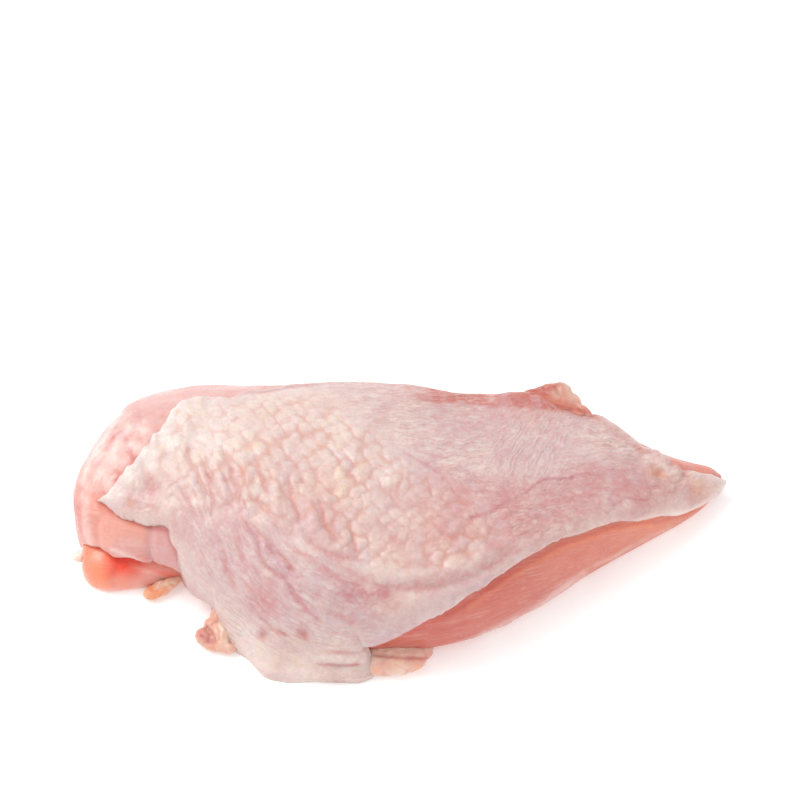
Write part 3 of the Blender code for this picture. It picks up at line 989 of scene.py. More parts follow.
class ReliefTree(Bench):
    """Geometry node tree that raises relief along a surface's normals."""

    def __init__(self, name: str, sizes: dict[str, float]) -> None:
        """Opens the tree.

        Args:
            name: Name of the tree.
            sizes: Names and values of the numbers that it takes.
        """
        super().__init__(bpy.data.node_groups.new(name, "GeometryNodeTree"))
        sockets = self.tree.interface
        sockets.new_socket(name="Geometry", in_out="INPUT", socket_type="NodeSocketGeometry")
        for label, value in sizes.items():
            kind = "NodeSocketInt" if isinstance(value, int) else "NodeSocketFloat"
            sockets.new_socket(name=label, in_out="INPUT", socket_type=kind).default_value = value
        sockets.new_socket(name="Finish", in_out="INPUT", socket_type="NodeSocketMaterial")
        sockets.new_socket(name="Geometry", in_out="OUTPUT", socket_type="NodeSocketGeometry")
        self.given = {socket.name: Wire(self, socket) for socket in self.add("NodeGroupInput").outputs}

    def attribute(self, name: Mask | Chart) -> Wire:
        """Reads a mask or a chart of the surface."""
        kind = "FLOAT_VECTOR" if isinstance(name, Chart) else "FLOAT"
        return self.out("GeometryNodeInputNamedAttribute", {"Name": name.value}, data_type=kind)

    def lifted(self, height: Wire) -> Wire:
        """The geometry moved along its normals."""
        offset = self.scaled(self.out("GeometryNodeInputNormal"), height)
        return self.out("GeometryNodeSetPosition", {"Geometry": self.given["Geometry"], "Offset": offset})

    def close(self, geometry: Wire) -> bpy.types.NodeTree:
        """Ends the tree in Realize Instances and Set Material.

        Args:
            geometry: What the tree has made.

        Returns:
            The finished tree.
        """
        inputs = {"Geometry": self.out("GeometryNodeRealizeInstances", {0: geometry}), "Material": self.given["Finish"]}
        self.add("NodeGroupOutput", {0: self.out("GeometryNodeSetMaterial", inputs)})
        return self.tree


def follicle_bumps(sizes: dict[str, float]) -> bpy.types.NodeTree:
    """Staggered rows of soft bumps with furrows between, over the bumps mask.

    Args:
        sizes: Pitch, Height, Irregularity, Overlap, Reach and Seed.

    Returns:
        The tree, which also marks the furrows in their mask, where they are tinted as painted shade.
    """
    tree = ReliefTree("follicle_bumps", sizes)
    given, share = tree.given, tree.attribute(Mask.BUMPS)
    cells = tree.scaled(tree.attribute(Chart.FLOW), tree.sum("DIVIDE", 1.0, given["Pitch"]))
    even = cells = tree.vector("ADD", cells, tree.combined(given["Seed"], given["Seed"]))
    for scale, reach in ((0.45, 1.2), (1.5, 0.35)):
        sway = tree.vector("SUBTRACT", tree.noise(even, scale, 1.0, output="Color"), (0.5, 0.5, 0.5))
        cells = tree.vector("ADD", cells, tree.scaled(sway, reach))
    lattice = {"Vector": cells, "Scale": 1.0, "Randomness": given["Irregularity"]}
    features = (
        ("DISTANCE_TO_EDGE", {}, "Distance"), ("F1", {}, "Position"), ("SMOOTH_F1", {"Smoothness": 0.10}, "Distance"),
    )
    edge, nearest, soft = (
        tree.out("ShaderNodeTexVoronoi", lattice | more, output, voronoi_dimensions="2D", feature=feature)
        for feature, more, output in features
    )
    rise, reach = tree.span(edge, 0.0, 0.30), soft / given["Reach"]
    crown = tree.sum("SUBTRACT", 1.0, reach * reach, clamp=True) * 0.85 + rise * 0.15
    down = tree.vector("DOT_PRODUCT", tree.vector("SUBTRACT", cells, nearest), (DIAGONAL, DIAGONAL, 0.0), "Value")
    size = tree.span(tree.noise(cells, 0.9, 1.0), 0.3, 0.7, 0.55, 1.25, "LINEAR")
    moved = tree.lifted(crown * (size + down * rise * given["Overlap"]) * share * given["Height"])
    # Painted shade: the furrows between the bumps go into the furrow shade mask, which tints them darker.
    hollow = tree.sum("SUBTRACT", 1.0, crown * size, clamp=True) * share
    stored = {"Geometry": moved, "Name": Mask.FURROW_SHADE.value}
    kept = tree.add("GeometryNodeStoreNamedAttribute", stored, data_type="FLOAT", domain="POINT")
    value = next(socket for socket in kept.inputs if socket.name == "Value" and socket.enabled)
    tree.feed(value, tree.sum("MAXIMUM", hollow, tree.attribute(Mask.FURROW_SHADE)))
    return tree.close(Wire(tree, kept.outputs[0]))


def fine_folds(sizes: dict[str, float]) -> bpy.types.NodeTree:
    """Long low folds that follow the drift and swirl charts, over the wrinkles mask.

    Args:
        sizes: Spacing, Stretch, Height and Seed.

    Returns:
        The tree.
    """
    tree = ReliefTree("fine_folds", sizes)
    given, sets = tree.given, []
    for chart in (Chart.DRIFT, Chart.SWIRL):
        along, across, _ = tree.cells(tree.attribute(chart), given["Spacing"], given["Stretch"])
        sets.append(tree.noise(tree.combined(along, across, given["Seed"]), 1.0, 2.0, distortion=0.6))
    folds = sets[0] + (sets[1] - sets[0]) * tree.attribute(Mask.SWEEP) - 0.5
    crease = tree.span(tree.sum("ABSOLUTE", folds), 0.0, 0.16)
    folds = (folds + (crease - 1.0) * 0.055) * tree.attribute(Mask.WRINKLES)
    return tree.close(tree.lifted(folds * (given["Height"] * 2.0)))


def work_tree(piece: bpy.types.Object, tree: bpy.types.NodeTree, values: dict) -> None:
    """Runs a geometry node tree on a piece and keeps the result as its plain mesh.

    Args:
        piece: The piece.
        tree: The tree.
        values: Values for its inputs, by name.
    """
    modifier = piece.modifiers.new(tree.name, "NODES")
    modifier.node_group = tree
    for socket in tree.interface.items_tree:
        if socket.item_type == "SOCKET" and socket.in_out == "INPUT" and socket.name in values:
            modifier[socket.identifier] = values[socket.name]
    flatten(piece)


def flatten(piece: bpy.types.Object) -> None:
    """Keeps what a piece's modifiers make as its plain mesh, and takes them off.

    Args:
        piece: The piece.
    """
    bpy.context.view_layer.update()
    mesh = bpy.data.meshes.new_from_object(piece.evaluated_get(bpy.context.evaluated_depsgraph_get()))
    piece.modifiers.clear()
    old, piece.data = piece.data, mesh
    mesh.name = old.name
    bpy.data.meshes.remove(old)
    mesh.shade_smooth()


def finish_piece(piece: bpy.types.Object, node: str) -> None:
    """Rides a piece on the body, hides the CAD part that it stands for and reports it.

    Args:
        piece: The piece.
        node: CAD node that it replaces.
    """
    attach(piece, BODY)
    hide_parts(node)
    LOG.info("%s: %d faces", piece.name, len(piece.data.polygons))


@dataclass
class BreastMeat:
    """The breast muscle."""

    view: Viewpoint
    loft: Loft = MEAT
    rows: int = 330
    near_points: int = 90
    far_points: int = 60
    foot_points: int = 90
    bed_depth: float = 3.0
    fillet_slump: float = 0.10
    fan_centre: tuple[float, float] = (190.0, 12.0)
    fan_radius: float = 150.0
    tip_cut: float = 1.7

    def shape(self) -> Surface:
        """Works out the muscle's surface with its bed, grain and tints."""
        ring = np.concatenate([
            np.linspace(-0.6, 1.0, self.near_points, endpoint=False),
            np.linspace(1.0, 2.3, self.far_points, endpoint=False),
            np.linspace(2.3, 3.4, self.foot_points, endpoint=False),
        ])
        points, normals = self.loft.tube(self.rows, ring)
        brush = Brush(self.view.sees(points))
        film = brush.patch(((84, 490), (100, 440), (120, 415), (150, 425), (165, 440), (130, 480), (105, 500)), 10.0)
        lift = 0.45 * Grain(11).rough(points, 17.0) + 0.16 * Grain(12).at(points, (16.0, 3.0, 3.0))
        lift += film * (0.55 * Grain(13).rough(points, 4.2, 2) + 0.25 * Grain(14).at(points, 1.7))
        lift -= 0.9 * brush.stroke(((146, 508), (150, 530), (150, 556), (160, 575)), 2.4)
        lift -= 0.5 * brush.stroke(((99, 505), (97, 530), (99, 548)), 4.0)
        lift += 0.7 * brush.stroke(((100, 560), (130, 553), (160, 568), (178, 575)), 3.0)
        lift *= ease(points[:, 2], 0.3, 4.0)
        points = points + normals * lift[:, None]
        points[:, 2] = np.maximum(points[:, 2], 0.0)
        self.overhang(points)
        self.bed(points)
        points[:, 0] -= self.tip_cut * ease(points[:, 0], 84.0, 95.4)
        surface = Surface(points, tube_faces(self.rows, len(ring)))
        self.paint(surface, brush)
        surface.charts[Chart.DRIFT] = self.drift(points)
        return surface

    @staticmethod
    def over_fillet(points: np.ndarray) -> tuple[np.ndarray, ...]:
        """Reads the fillet where points stand.

        Args:
            points: The muscle's points.

        Returns:
            Their places along and across, and the fillet's near edge, far edge and top there.
        """
        x, y, _ = (points + CENTRE).T
        knot = FILLET.knot_at_x(x)
        return x, y, *(FILLET.column(c, knot) for c in (1, 2, 4))

    def overhang(self, points: np.ndarray) -> None:
        """Draws the foot of the near wall back, so that the fillet's end stands in front of it.

        Args:
            points: The muscle's points, which are moved.
        """
        x, y, near, far, top = self.over_fillet(points)
        top = top * (1.0 - self.fillet_slump * ease(x, -75.1, -83.1))
        share = ease(points[:, 2], top + 2.0, top - 0.8) * ease(x, -60.5, -67.0)
        points[:, 1] += np.maximum(0.55 * near + 0.45 * far - y, 0.0) * share

    def bed(self, points: np.ndarray) -> None:
        """Presses the bed of the fillet into the underside.

        Args:
            points: The muscle's points, which are moved.
        """
        x, y, near, far, top = self.over_fillet(points)
        first, last = FILLET.sections[0][0], FILLET.sections[-1][0]
        inside = np.minimum.reduce([y - near, far - y, x - first, last - x])
        deep = np.minimum(self.bed_depth, np.maximum(top - 1.0, 0.0))
        z = points[:, 2]
        points[:, 2] = np.where(z < deep, np.maximum(z, deep * ease(inside, -1.2, 1.0)), z)

    def drift(self, points: np.ndarray) -> np.ndarray:
        """Charts the fibres, which fan out from the pointed end.

        Args:
            points: The muscle's points.

        Returns:
            Their places along and across the fibres and their height.
        """
        x, y, z = points.T
        ahead, side = self.fan_centre[0] - x, y + 1.2 * z - self.fan_centre[1]
        return np.stack([np.hypot(ahead, side), np.arctan2(side, ahead) * self.fan_radius, z * 0.6], axis=1)

    def paint(self, surface: Surface, brush: Brush) -> None:
        """Tints the blunt end, the lower band and the rims, with painted shade along the skin's near edge.

        Args:
            surface: The muscle.
            brush: Brush over its points before they were moved.
        """
        masks, points = surface.masks, surface.points
        film = brush.patch((
            (82, 492), (90, 452), (112, 424), (140, 412), (166, 420), (160, 440), (136, 470), (104, 500),
        ), 10.0)
        blotches = Grain(15).rough(points, 3.2)
        masks[Mask.PALE] = (
            brush.strokes(
                (((86, 500), (86, 525), (90, 545)), 5.0),
                (((82, 484), (86, 466), (96, 448), (108, 430), (120, 412)), 2.6),
                (((112, 549), (133, 556), (156, 569), (178, 576)), 2.2),
            ) * 0.5
            + brush.strokes(
                (((442, 650), (470, 640), (500, 627)), 2.6), (((596, 566), (631, 548), (670, 528)), 2.2),
            ) * 0.28
            + brush.strokes(
                (((484, 634), (500, 627), (520, 616), (540, 605), (560, 591), (584, 574)), 3.6),
            ) * (0.42 + 0.25 * Grain(18).at(points, (6.0, 3.0, 3.0)))
            + brush.dabs(
                (104, 470, 8, 0.5), (118, 446, 7, 0.7), (108, 486, 6, 0.35), (128, 428, 7, 0.6), (112, 458, 5, 0.5),
                (124, 462, 5, 0.6), (98, 452, 6, 0.5), (134, 446, 6, 0.5), (142, 430, 5, 0.4), (96, 484, 6, 0.2),
            )
            + film * np.clip(blotches, 0.0, 0.45)
        )
        spread = ease(brush.seen[:, 0] + 60.0 * Grain(17).rough(points, 12.0), 330.0, 215.0)
        masks[Mask.BLUSH] = (
            spread * 0.88 * brush.patch((
                (80, 430), (150, 382), (330, 374), (330, 396), (175, 420), (130, 470), (98, 500), (78, 500),
            ), 10.0)
            + 0.76 * brush.patch(((88, 505), (145, 520), (148, 556), (92, 552)), 14.0)
        )
        masks[Mask.CREAM] = 0.2 * brush.stroke(((660, 458), (690, 466), (718, 474)), 5.0)
        masks[Mask.LILAC] = np.maximum(
            brush.patch(((146, 518), (174, 530), (190, 578), (160, 574), (147, 556)), 6.0),
            brush.dabs(
                (125, 540, 22, 0.35), (150, 398, 24, 0.6), (195, 392, 24, 0.6), (238, 390, 20, 0.6),
                (120, 430, 12, 0.3), (104, 462, 8, 0.3),
            ) + film * np.clip(-2.0 * blotches, 0.0, 0.8),
        )
        masks[Mask.FLESH] = (
            brush.dabs(
                (132, 455, 4, 0.5), (117, 471, 4, 0.5), (128, 404, 8, 0.3), (126, 440, 3, 0.5), (108, 463, 3, 0.35),
                (138, 462, 4, 0.5), (120, 482, 4, 0.3), (112, 436, 3, 0.35), (104, 482, 14, 0.14),
                (470, 622, 28, 0.2), (502, 600, 28, 0.2), (432, 642, 24, 0.26),
            )
            + 0.8 * brush.strokes(
                (((156, 386), (200, 383), (260, 381)), 3.0),
                (((400, 386), (440, 388), (480, 393), (516, 390), (540, 388)), 8.0),
            )
            + 0.35 * brush.stroke(((672, 461), (700, 468), (718, 476)), 5.0)
            + film * np.clip(2.2 * Grain(16).rough(points, 3.0, 2) - 0.35, 0.0, 0.35)
            # Painted shade: a red line on the muscle along the skin's near edge, where the skin's contact shadow falls.
            + 0.5 * brush.strokes(
                (((99, 502), (115, 514), (133, 523), (168, 531), (173, 546), (184, 572)), 2.6),
                (((366, 652), (390, 643), (425, 626), (461, 607), (507, 577), (558, 546), (612, 527), (660, 521),
                    (700, 508)), 2.6),
            )
        )
        masks[Mask.ORANGE] = (
            0.35 * brush.patch(((90, 500), (125, 512), (140, 525), (110, 550), (88, 550)), 10.0)
            + brush.dabs(
                (95, 500, 10, 0.3), (140, 528, 14, 0.3), (600, 560, 40, 0.3), (660, 522, 34, 0.55),
                (700, 505, 18, 0.65), (710, 468, 9, 0.35),
            )
            # Painted shade: an orange line on the muscle under the skin's near edge.
            + 0.5 * brush.stroke(((470, 606), (520, 572), (566, 546), (610, 530), (650, 524)), 4.0)
        )

    def build(self) -> None:
        piece = self.shape().object("breast_meat_dressed", FleshFinish().build("raw_meat"))
        finish_piece(piece, "breast_meat")


@dataclass
class InnerFillet:
    """The inner fillet, whose end shows at the lower left."""

    view: Viewpoint
    loft: Loft = FILLET
    rows: int = 200
    loop: int = 96
    slump: float = 0.10
    finish: FleshFinish = FleshFinish(
        body=linear(244, 156, 128), deep=linear(232, 124, 100), flesh=linear(244, 74, 52),
        orange=linear(248, 148, 110), spacing=0.7,
    )

    def shape(self) -> Surface:
        """Works out the fillet's surface, grain and tints."""
        points, normals = self.loft.tube(self.rows, np.linspace(0.0, 4.0, self.loop, endpoint=False))
        brush = Brush(self.view.sees(points))
        lift = 0.3 * Grain(21).rough(points, 9.0) + 0.12 * Grain(22).at(points, (14.0, 2.2, 2.2))
        lift -= 0.8 * brush.stroke(((117, 548), (119, 562), (114, 582)), 4.5)
        lift -= 0.35 * brush.stroke(((134, 570), (152, 577), (172, 583)), 3.0)
        lift *= ease(points[:, 2], 0.3, 2.5)
        points = points + normals * lift[:, None]
        points[:, 2] = np.maximum(points[:, 2] * (1.0 - self.slump * ease(points[:, 0], -76.0, -84.0)), 0.0)
        surface = Surface(points, tube_faces(self.rows, self.loop))
        surface.charts[Chart.DRIFT] = points * np.array([1.0, 1.0, 0.8])
        uneven = 0.85 + 0.15 * Grain(24).at(points, 3.0)
        surface.masks |= {
            Mask.ORANGE: uneven * brush.patch(((84, 545), (110, 548), (108, 592), (84, 594)), 8.0),
            Mask.FLESH: brush.dabs(
                (122, 562, 10, 1.0), (113, 569, 9, 0.5), (136, 570, 9, 0.6), (110, 556, 7, 0.4), (126, 556, 6, 0.6),
                (150, 578, 8, 0.3),
            # Deeper red along the crease under the muscle's overhang: partly the meat's own red, partly painted shade.
            ) + 0.55 * brush.strokes((((116, 552), (134, 560), (156, 571), (178, 579)), 3.0)),
            Mask.BLUSH: brush.dabs((150, 583, 16, 0.75), (118, 590, 16, 0.25), (170, 585, 10, 0.5)),
            Mask.PALE: 0.5 * brush.strokes((((92, 590), (120, 592), (150, 589)), 2.5))
            # The pale dab at (96, 556) is a painted highlight on the top left of the lobe.
            + brush.dabs((96, 556, 6, 0.3), (150, 572, 10, 0.25)),
        }
        return surface

    def build(self) -> None:
        piece = self.shape().object("inner_fillet_dressed", self.finish.build("raw_fillet"))
        finish_piece(piece, "inner_fillet")


@dataclass
class Skin:
    """The skin with its thin fat: bumps, creases, a rolled rim and the hem.

    The edges and the turn line hold pairs of x and ring place on the muscle, the
    row places pairs of share and x, and the hem pairs of x and reach. Crowding is
    the width of a strip at each end, how many shares stand in it, and a power.
    """

    view: Viewpoint
    meat: Loft = MEAT
    rows: int = 430
    top_columns: int = 214
    under_columns: int = 15
    row_crowding: tuple[float, int, float] = (0.012, 9, 1.6)
    column_crowding: tuple[float, int, float] = (0.022, 11, 1.7)
    thick: float = 2.15
    gap: float = 0.35
    under_sink: float = 0.15
    rim_width: float = 2.4
    rim_swell: float = 0.95
    body_share: float = 0.76
    hem_height: float = 0.10
    hem_slant: float = 6.0
    bump_pitch: float = 3.55
    bump_height: float = 0.80
    fold_height: float = 0.58
    smoothing: int = 14
    hollow_depth: float = 0.22
    swirl_centre: tuple[float, float] = (-6.0, -12.0)
    swirl_radius: float = 38.0
    row_places: Path = (
        (0.0, -84.6), (0.1, -70.0), (0.22, -54.5), (0.28, -47.0), (0.46, -15.0), (0.54, -5.5), (1.0, 94.1),
    )
    near_edge: Path = (
        (-84.6, 0.735), (-83.9, 0.72), (-81.7, 0.69), (-79.1, 0.64), (-76.7, 0.6), (-74.1, 0.575), (-69.4, 0.54),
        (-64.0, 0.525), (-62.9, 0.42), (-61.5, 0.38), (-60.3, 0.2), (-57.2, -0.16), (-49.5, -0.2), (-15.0, -0.2),
        (-11.4, 0.03), (-7.4, 0.055), (-2.8, 0.11), (2.1, 0.19), (6.7, 0.27), (11.3, 0.325), (16.3, 0.39),
        (20.9, 0.445), (28.7, 0.505), (34.1, 0.55), (43.2, 0.59), (53.2, 0.57), (58.7, 0.565), (67.5, 0.485),
        (73.2, 0.44), (81.2, 0.32), (88.0, 0.3), (90.8, 0.29), (94.1, 0.52),
    )
    turn_line: Path = (
        (-84.6, 0.74), (-81.7, 0.735), (-79.1, 0.72), (-74.1, 0.66), (-65.7, 0.66), (-62.1, 0.64), (-59.8, 0.56),
        (-57.2, 0.48), (-49.5, 0.36), (-36.0, 0.32), (-22.5, 0.3), (-11.4, 0.31), (-7.6, 0.32), (1.6, 0.38),
        (10.8, 0.48), (19.8, 0.57), (33.6, 0.69), (42.6, 0.73), (55.8, 0.71), (64.8, 0.68), (72.5, 0.62), (81.0, 0.5),
        (89.6, 0.47), (94.1, 0.61),
    )
    far_edge: Path = (
        (-84.6, 0.745), (-81.9, 0.785), (-80.6, 0.8), (-78.9, 0.855), (-78.0, 0.9), (-76.7, 0.97), (-75.8, 0.987),
        (-74.6, 1.01), (-72.4, 1.06), (-70.9, 1.105), (-69.6, 1.16), (-67.9, 1.215), (-66.4, 1.275), (-64.6, 1.34),
        (-62.6, 1.39), (-57.5, 1.43), (-49.9, 1.46), (-45.3, 1.52), (-36.0, 1.6), (-22.5, 1.7), (-7.6, 1.76),
        (1.6, 1.74), (10.8, 1.68), (19.8, 1.64), (33.6, 1.6), (40.0, 1.56), (46.0, 1.53), (52.0, 1.55), (58.0, 1.64),
        (64.8, 1.56), (69.0, 1.45), (72.5, 1.35), (76.0, 1.27), (81.0, 1.19), (88.0, 1.06), (91.8, 0.88),
        (94.1, 0.74),
    )
    hem_reach: Path = (
        (-52.0, 0.0), (-50.2, 2.0), (-47.6, 8.8), (-45.0, 8.8), (-42.3, 9.3), (-38.0, 12.0), (-34.8, 11.8),
        (-25.0, 7.7), (-16.8, 6.6), (-13.8, 5.4), (-12.2, 2.6), (-10.4, 0.0),
    )
    orange_creases: tuple[Crease, ...] = (
        (((184, 444), (188, 456), (191, 470)), 4.0, 0.4), (((204, 448), (208, 470), (214, 500)), 4.2, 0.45),
        (((224, 446), (229, 466), (234, 482), (239, 504)), 4.2, 0.6),
        (((254, 454), (260, 474), (267, 494)), 4.0, 0.55), (((289, 478), (294, 500), (301, 524)), 3.8, 0.6),
        (((318, 498), (325, 520), (336, 550)), 3.8, 0.65), (((352, 530), (355, 543), (358, 560)), 3.4, 0.5),
        (((402, 466), (399, 484), (393, 504)), 3.4, 0.3),
    )
    pink_creases: tuple[Crease, ...] = (
        (((246, 522), (257, 541), (260, 552), (267, 567), (287, 580), (292, 592), (300, 602), (310, 612),
            (320, 620)), 3.6, 0.95),
        (((252, 524), (267, 544), (280, 556), (294, 574)), 4.2, 0.9),
        (((302, 526), (315, 547), (335, 556), (372, 564)), 3.6, 0.4),
        (((326, 607), (340, 616), (356, 625)), 3.2, 0.5),
        (((250, 606), (262, 621), (272, 629), (292, 638)), 3.2, 0.6),
        (((218, 540), (230, 575), (246, 612)), 3.6, 0.35), (((234, 520), (238, 545), (250, 580)), 3.4, 0.35),
        (((280, 540), (320, 566), (356, 592)), 3.6, 0.4),
        (((148, 468), (151, 480), (146, 490), (138, 498)), 4.4, 0.35),
        (((124, 500), (138, 505), (152, 508)), 3.4, 0.35), (((176, 480), (188, 500), (196, 524)), 3.2, 0.4),
        (((208, 484), (213, 500), (210, 520)), 3.0, 0.45),
        (((404, 450), (424, 464), (444, 474), (456, 498)), 2.4, 0.3),
        (((424, 472), (430, 486), (434, 498)), 2.2, 0.2),
        (((316, 662), (330, 663), (345, 664), (364, 663)), 1.5, 0.4),
        (((320, 650), (344, 652), (364, 652)), 2.2, 0.18),
    )
    rim_lobes: tuple[Dab, ...] = (
        (103, 499, 5, 0.5), (113, 492, 6, 0.7), (122, 481, 6, 0.8), (130, 471, 6, 0.8), (139, 463, 6, 0.8),
        (147, 453, 6, 0.9), (154, 440, 6, 0.9), (164, 428, 6, 0.7), (172, 441, 8, 0.7), (160, 456, 7, 0.5),
        (174, 415, 7, 0.9), (184, 407, 7, 0.7), (200, 402, 7, 0.6), (218, 399, 6, 0.4), (134, 482, 7, 0.4),
        (184, 428, 6, 0.4), (126, 500, 8, 0.3), (148, 508, 8, 0.3), (546, 396, 9, 0.4), (560, 398, 10, 0.5),
        (574, 402, 9, 0.5), (634, 447, 6, 0.3), (644, 453, 6, 0.3), (653, 459, 7, 0.7), (661, 465, 7, 0.8),
        (670, 471, 7, 0.6), (680, 474, 7, 0.3), (690, 475, 6, 0.5), (700, 476, 6, 0.4), (710, 476, 6, 0.6),
    )
    lumps: tuple[Dab, ...] = (
        (188, 426, 6, 0.9), (200, 434, 5, 0.7), (212, 424, 6, 0.7), (226, 436, 6, 0.7), (238, 424, 6, 0.6),
        (206, 452, 5, 0.5), (182, 446, 6, 0.7), (192, 458, 5, 0.6), (218, 448, 6, 0.6), (176, 492, 6, 0.7),
        (190, 504, 6, 0.6), (168, 508, 5, 0.5), (180, 516, 5, 0.4), (196, 490, 5, 0.5), (340, 470, 7, 0.6),
        (390, 478, 7, 0.9), (352, 452, 7, 0.5), (600, 446, 8, 0.5), (622, 452, 8, 0.7), (606, 466, 7, 0.4),
        (585, 440, 8, 0.4), (654, 459, 5, 1.2), (663, 465, 5, 2.0), (646, 455, 4, 0.9), (675, 472, 4, 1.5),
        (640, 452, 4, 0.7), (696, 480, 6, 1.1), (712, 480, 5, 0.5), (627, 506, 8, 0.7), (650, 505, 7, 0.4),
        (678, 508, 9, 0.5), (668, 492, 7, 0.5), (690, 482, 7, 0.4), (704, 488, 7, 0.5), (648, 474, 7, 0.5),
    )
    ridges: tuple[Crease, ...] = (
        (((242, 452), (246, 478), (249, 510)), 5.0, 0.8), (((272, 470), (276, 488), (280, 504)), 6.0, 0.8),
        (((308, 494), (314, 510), (318, 526)), 5.0, 0.7), (((216, 450), (221, 475), (226, 508)), 5.0, 0.7),
        (((342, 520), (346, 540), (346, 552)), 5.0, 0.6), (((196, 446), (201, 470), (206, 486)), 4.0, 0.5),
        (((165, 502), (172, 488), (188, 482), (200, 492), (203, 514)), 4.0, 0.7),
        (((238, 520), (254, 548), (276, 572)), 5.0, 0.7), (((262, 518), (284, 544), (312, 566)), 5.0, 0.6),
        (((258, 664), (276, 674), (320, 676), (368, 670)), 7.0, 1.0),
        (((318, 655), (340, 657), (360, 656)), 4.0, 0.9),
        (((112, 500), (130, 480), (146, 460), (156, 438), (170, 418)), 7.0, 0.4),
        (((392, 606), (430, 600), (470, 586), (500, 570)), 7.0, 0.5),
        (((490, 400), (508, 399), (526, 398), (544, 397), (562, 400), (582, 408)), 9.0, 2.4),
        (((522, 397), (540, 395), (556, 396), (570, 400), (584, 407)), 8.0, 1.0),
    )
    pits: tuple[Dab, ...] = (
        (209, 474, 5, 0.8), (232, 470, 4, 0.6), (302, 480, 5, 0.6), (303, 633, 5, 0.4), (262, 636, 4, 0.5),
        (659, 474, 4, 0.9), (652, 468, 3, 0.6), (701, 490, 5, 0.5), (290, 571, 5, 0.3), (288, 596, 4, 0.3),
        (362, 597, 6, 0.5), (378, 604, 5, 0.4),
    )

    @staticmethod
    def crowded(count: int, strip: float, extra: int, power: float) -> np.ndarray:
        """Shares from 0 to 1 that crowd together at both ends.

        Args:
            count: How many shares.
            strip: Width of the crowded strip at each end.
            extra: How many shares stand in it.
            power: How much they crowd.

        Returns:
            The shares.
        """
        ends = strip * (np.arange(extra) / extra) ** power
        return np.concatenate([ends, np.linspace(strip, 1.0 - strip, count - 2 * extra), 1.0 - ends[::-1]])

    def above(self, knot: np.ndarray, ring: np.ndarray) -> np.ndarray:
        """Points a gap above the muscle."""
        return self.meat.points(knot, ring) + self.gap * self.meat.normals(knot, ring)

    def inner(self, row: np.ndarray, column: np.ndarray) -> np.ndarray:
        """Points of the skin's inner face.

        Args:
            row: Places along the breast, 0 to 1.
            column: Places from the far edge to the near edge, 0 to 1.

        Returns:
            Points in millimetres, one a row.
        """
        x = smooth_curve(*np.transpose(self.row_places), row, gentle=True)
        lines = (self.near_edge, self.turn_line, self.far_edge)
        near, turn, far = (smooth_curve(*np.transpose(line), x, gentle=True) for line in lines)
        knot, zero, ragged = self.meat.knot_at_x(x), 0.0 * x, Grain(31)
        line = np.stack([x, zero, zero], axis=1)
        flap, rim = ease(x, -61.0, -66.0), ease(x, 56.0, 62.0)
        waves = (0.018 + 0.016 * rim) * ragged.rough(line, 4.0)
        waves += 0.030 * flap * ragged.at(line + 70.0, 2.4) + 0.012 * rim * ragged.at(line + 30.0, 2.6)
        far = far + waves * ease(column, 0.5, 0.0)
        near = near + (0.024 + 0.016 * flap) * ragged.rough(line + 50.0, 4.0) * ease(column, 0.8, 1.0)
        reach = np.interp(x, *np.transpose(self.hem_reach), left=0.0, right=0.0)
        hem = ease(reach, 0.0, 5.0)
        reach = reach + 0.35 * hem * ragged.at(line + 90.0, 3.5)
        body = np.clip(column / self.body_share, 0.0, 1.0)
        tail = np.clip((column - self.body_share) / (1.0 - self.body_share), 0.0, 1.0)
        on_meat = self.above(knot, far + (turn - far) * body + (near - turn) * tail)

        start = self.above(knot, turn)
        heading = unit(self.above(knot, turn - 0.08) - start)
        slant = self.hem_slant * ease(x, -30.0, -13.0)
        finish = np.stack([x + slant, self.meat.column(1, knot) - reach - self.gap, zero + self.hem_height], axis=-1)
        span = np.linalg.norm(finish - start, axis=-1, keepdims=True)
        first_pull = start + heading * span * 0.42
        last_pull = finish + np.stack([zero, 0.5 * np.maximum(reach, 4.0), zero], axis=-1)
        share = tail[:, None]
        swept = (1 - share) ** 3 * start + 3 * share * (1 - share) ** 2 * first_pull
        swept += 3 * share**2 * (1 - share) * last_pull + share**3 * finish
        blend = hem[:, None] * (share > 0.0)
        points = on_meat * (1.0 - blend) + swept * blend
        points[:, 2] = np.maximum(points[:, 2], self.hem_height)
        return points - CENTRE

    def sheet(self, rows: np.ndarray, columns: np.ndarray) -> tuple[np.ndarray, np.ndarray]:
        """Inner face as a grid, with its outward directions.

        Args:
            rows: Shares of the rows.
            columns: Shares of the columns.

        Returns:
            Points and directions, rows by columns by 3.
        """
        count = (len(rows), len(columns))
        points = self.inner(np.repeat(rows, count[1]), np.tile(columns, count[0])).reshape(*count, 3)
        return points, unit(np.cross(np.gradient(points, axis=1), np.gradient(points, axis=0)))

    @staticmethod
    def rim_distance(points: np.ndarray) -> np.ndarray:
        """Measures a grid.

        Args:
            points: Grid of points, rows by columns by 3.

        Returns:
            Distance of each point from the grid's nearest edge.
        """
        rim = np.vstack([points[:, 0], points[:, -1], points[0], points[-1]])
        tree = KDTree(len(rim))
        for index, place in enumerate(rim):
            tree.insert(place, index)
        tree.balance()
        return np.array([tree.find(place)[2] for place in points.reshape(-1, 3)]).reshape(points.shape[:2])

    @staticmethod
    def wrapped(outer: np.ndarray, under: np.ndarray) -> np.ndarray:
        """One value for each point, from grids of the outer and the inner face, with 0 at the poles."""
        return np.concatenate([np.hstack([outer, under]).ravel(), [0.0, 0.0]])

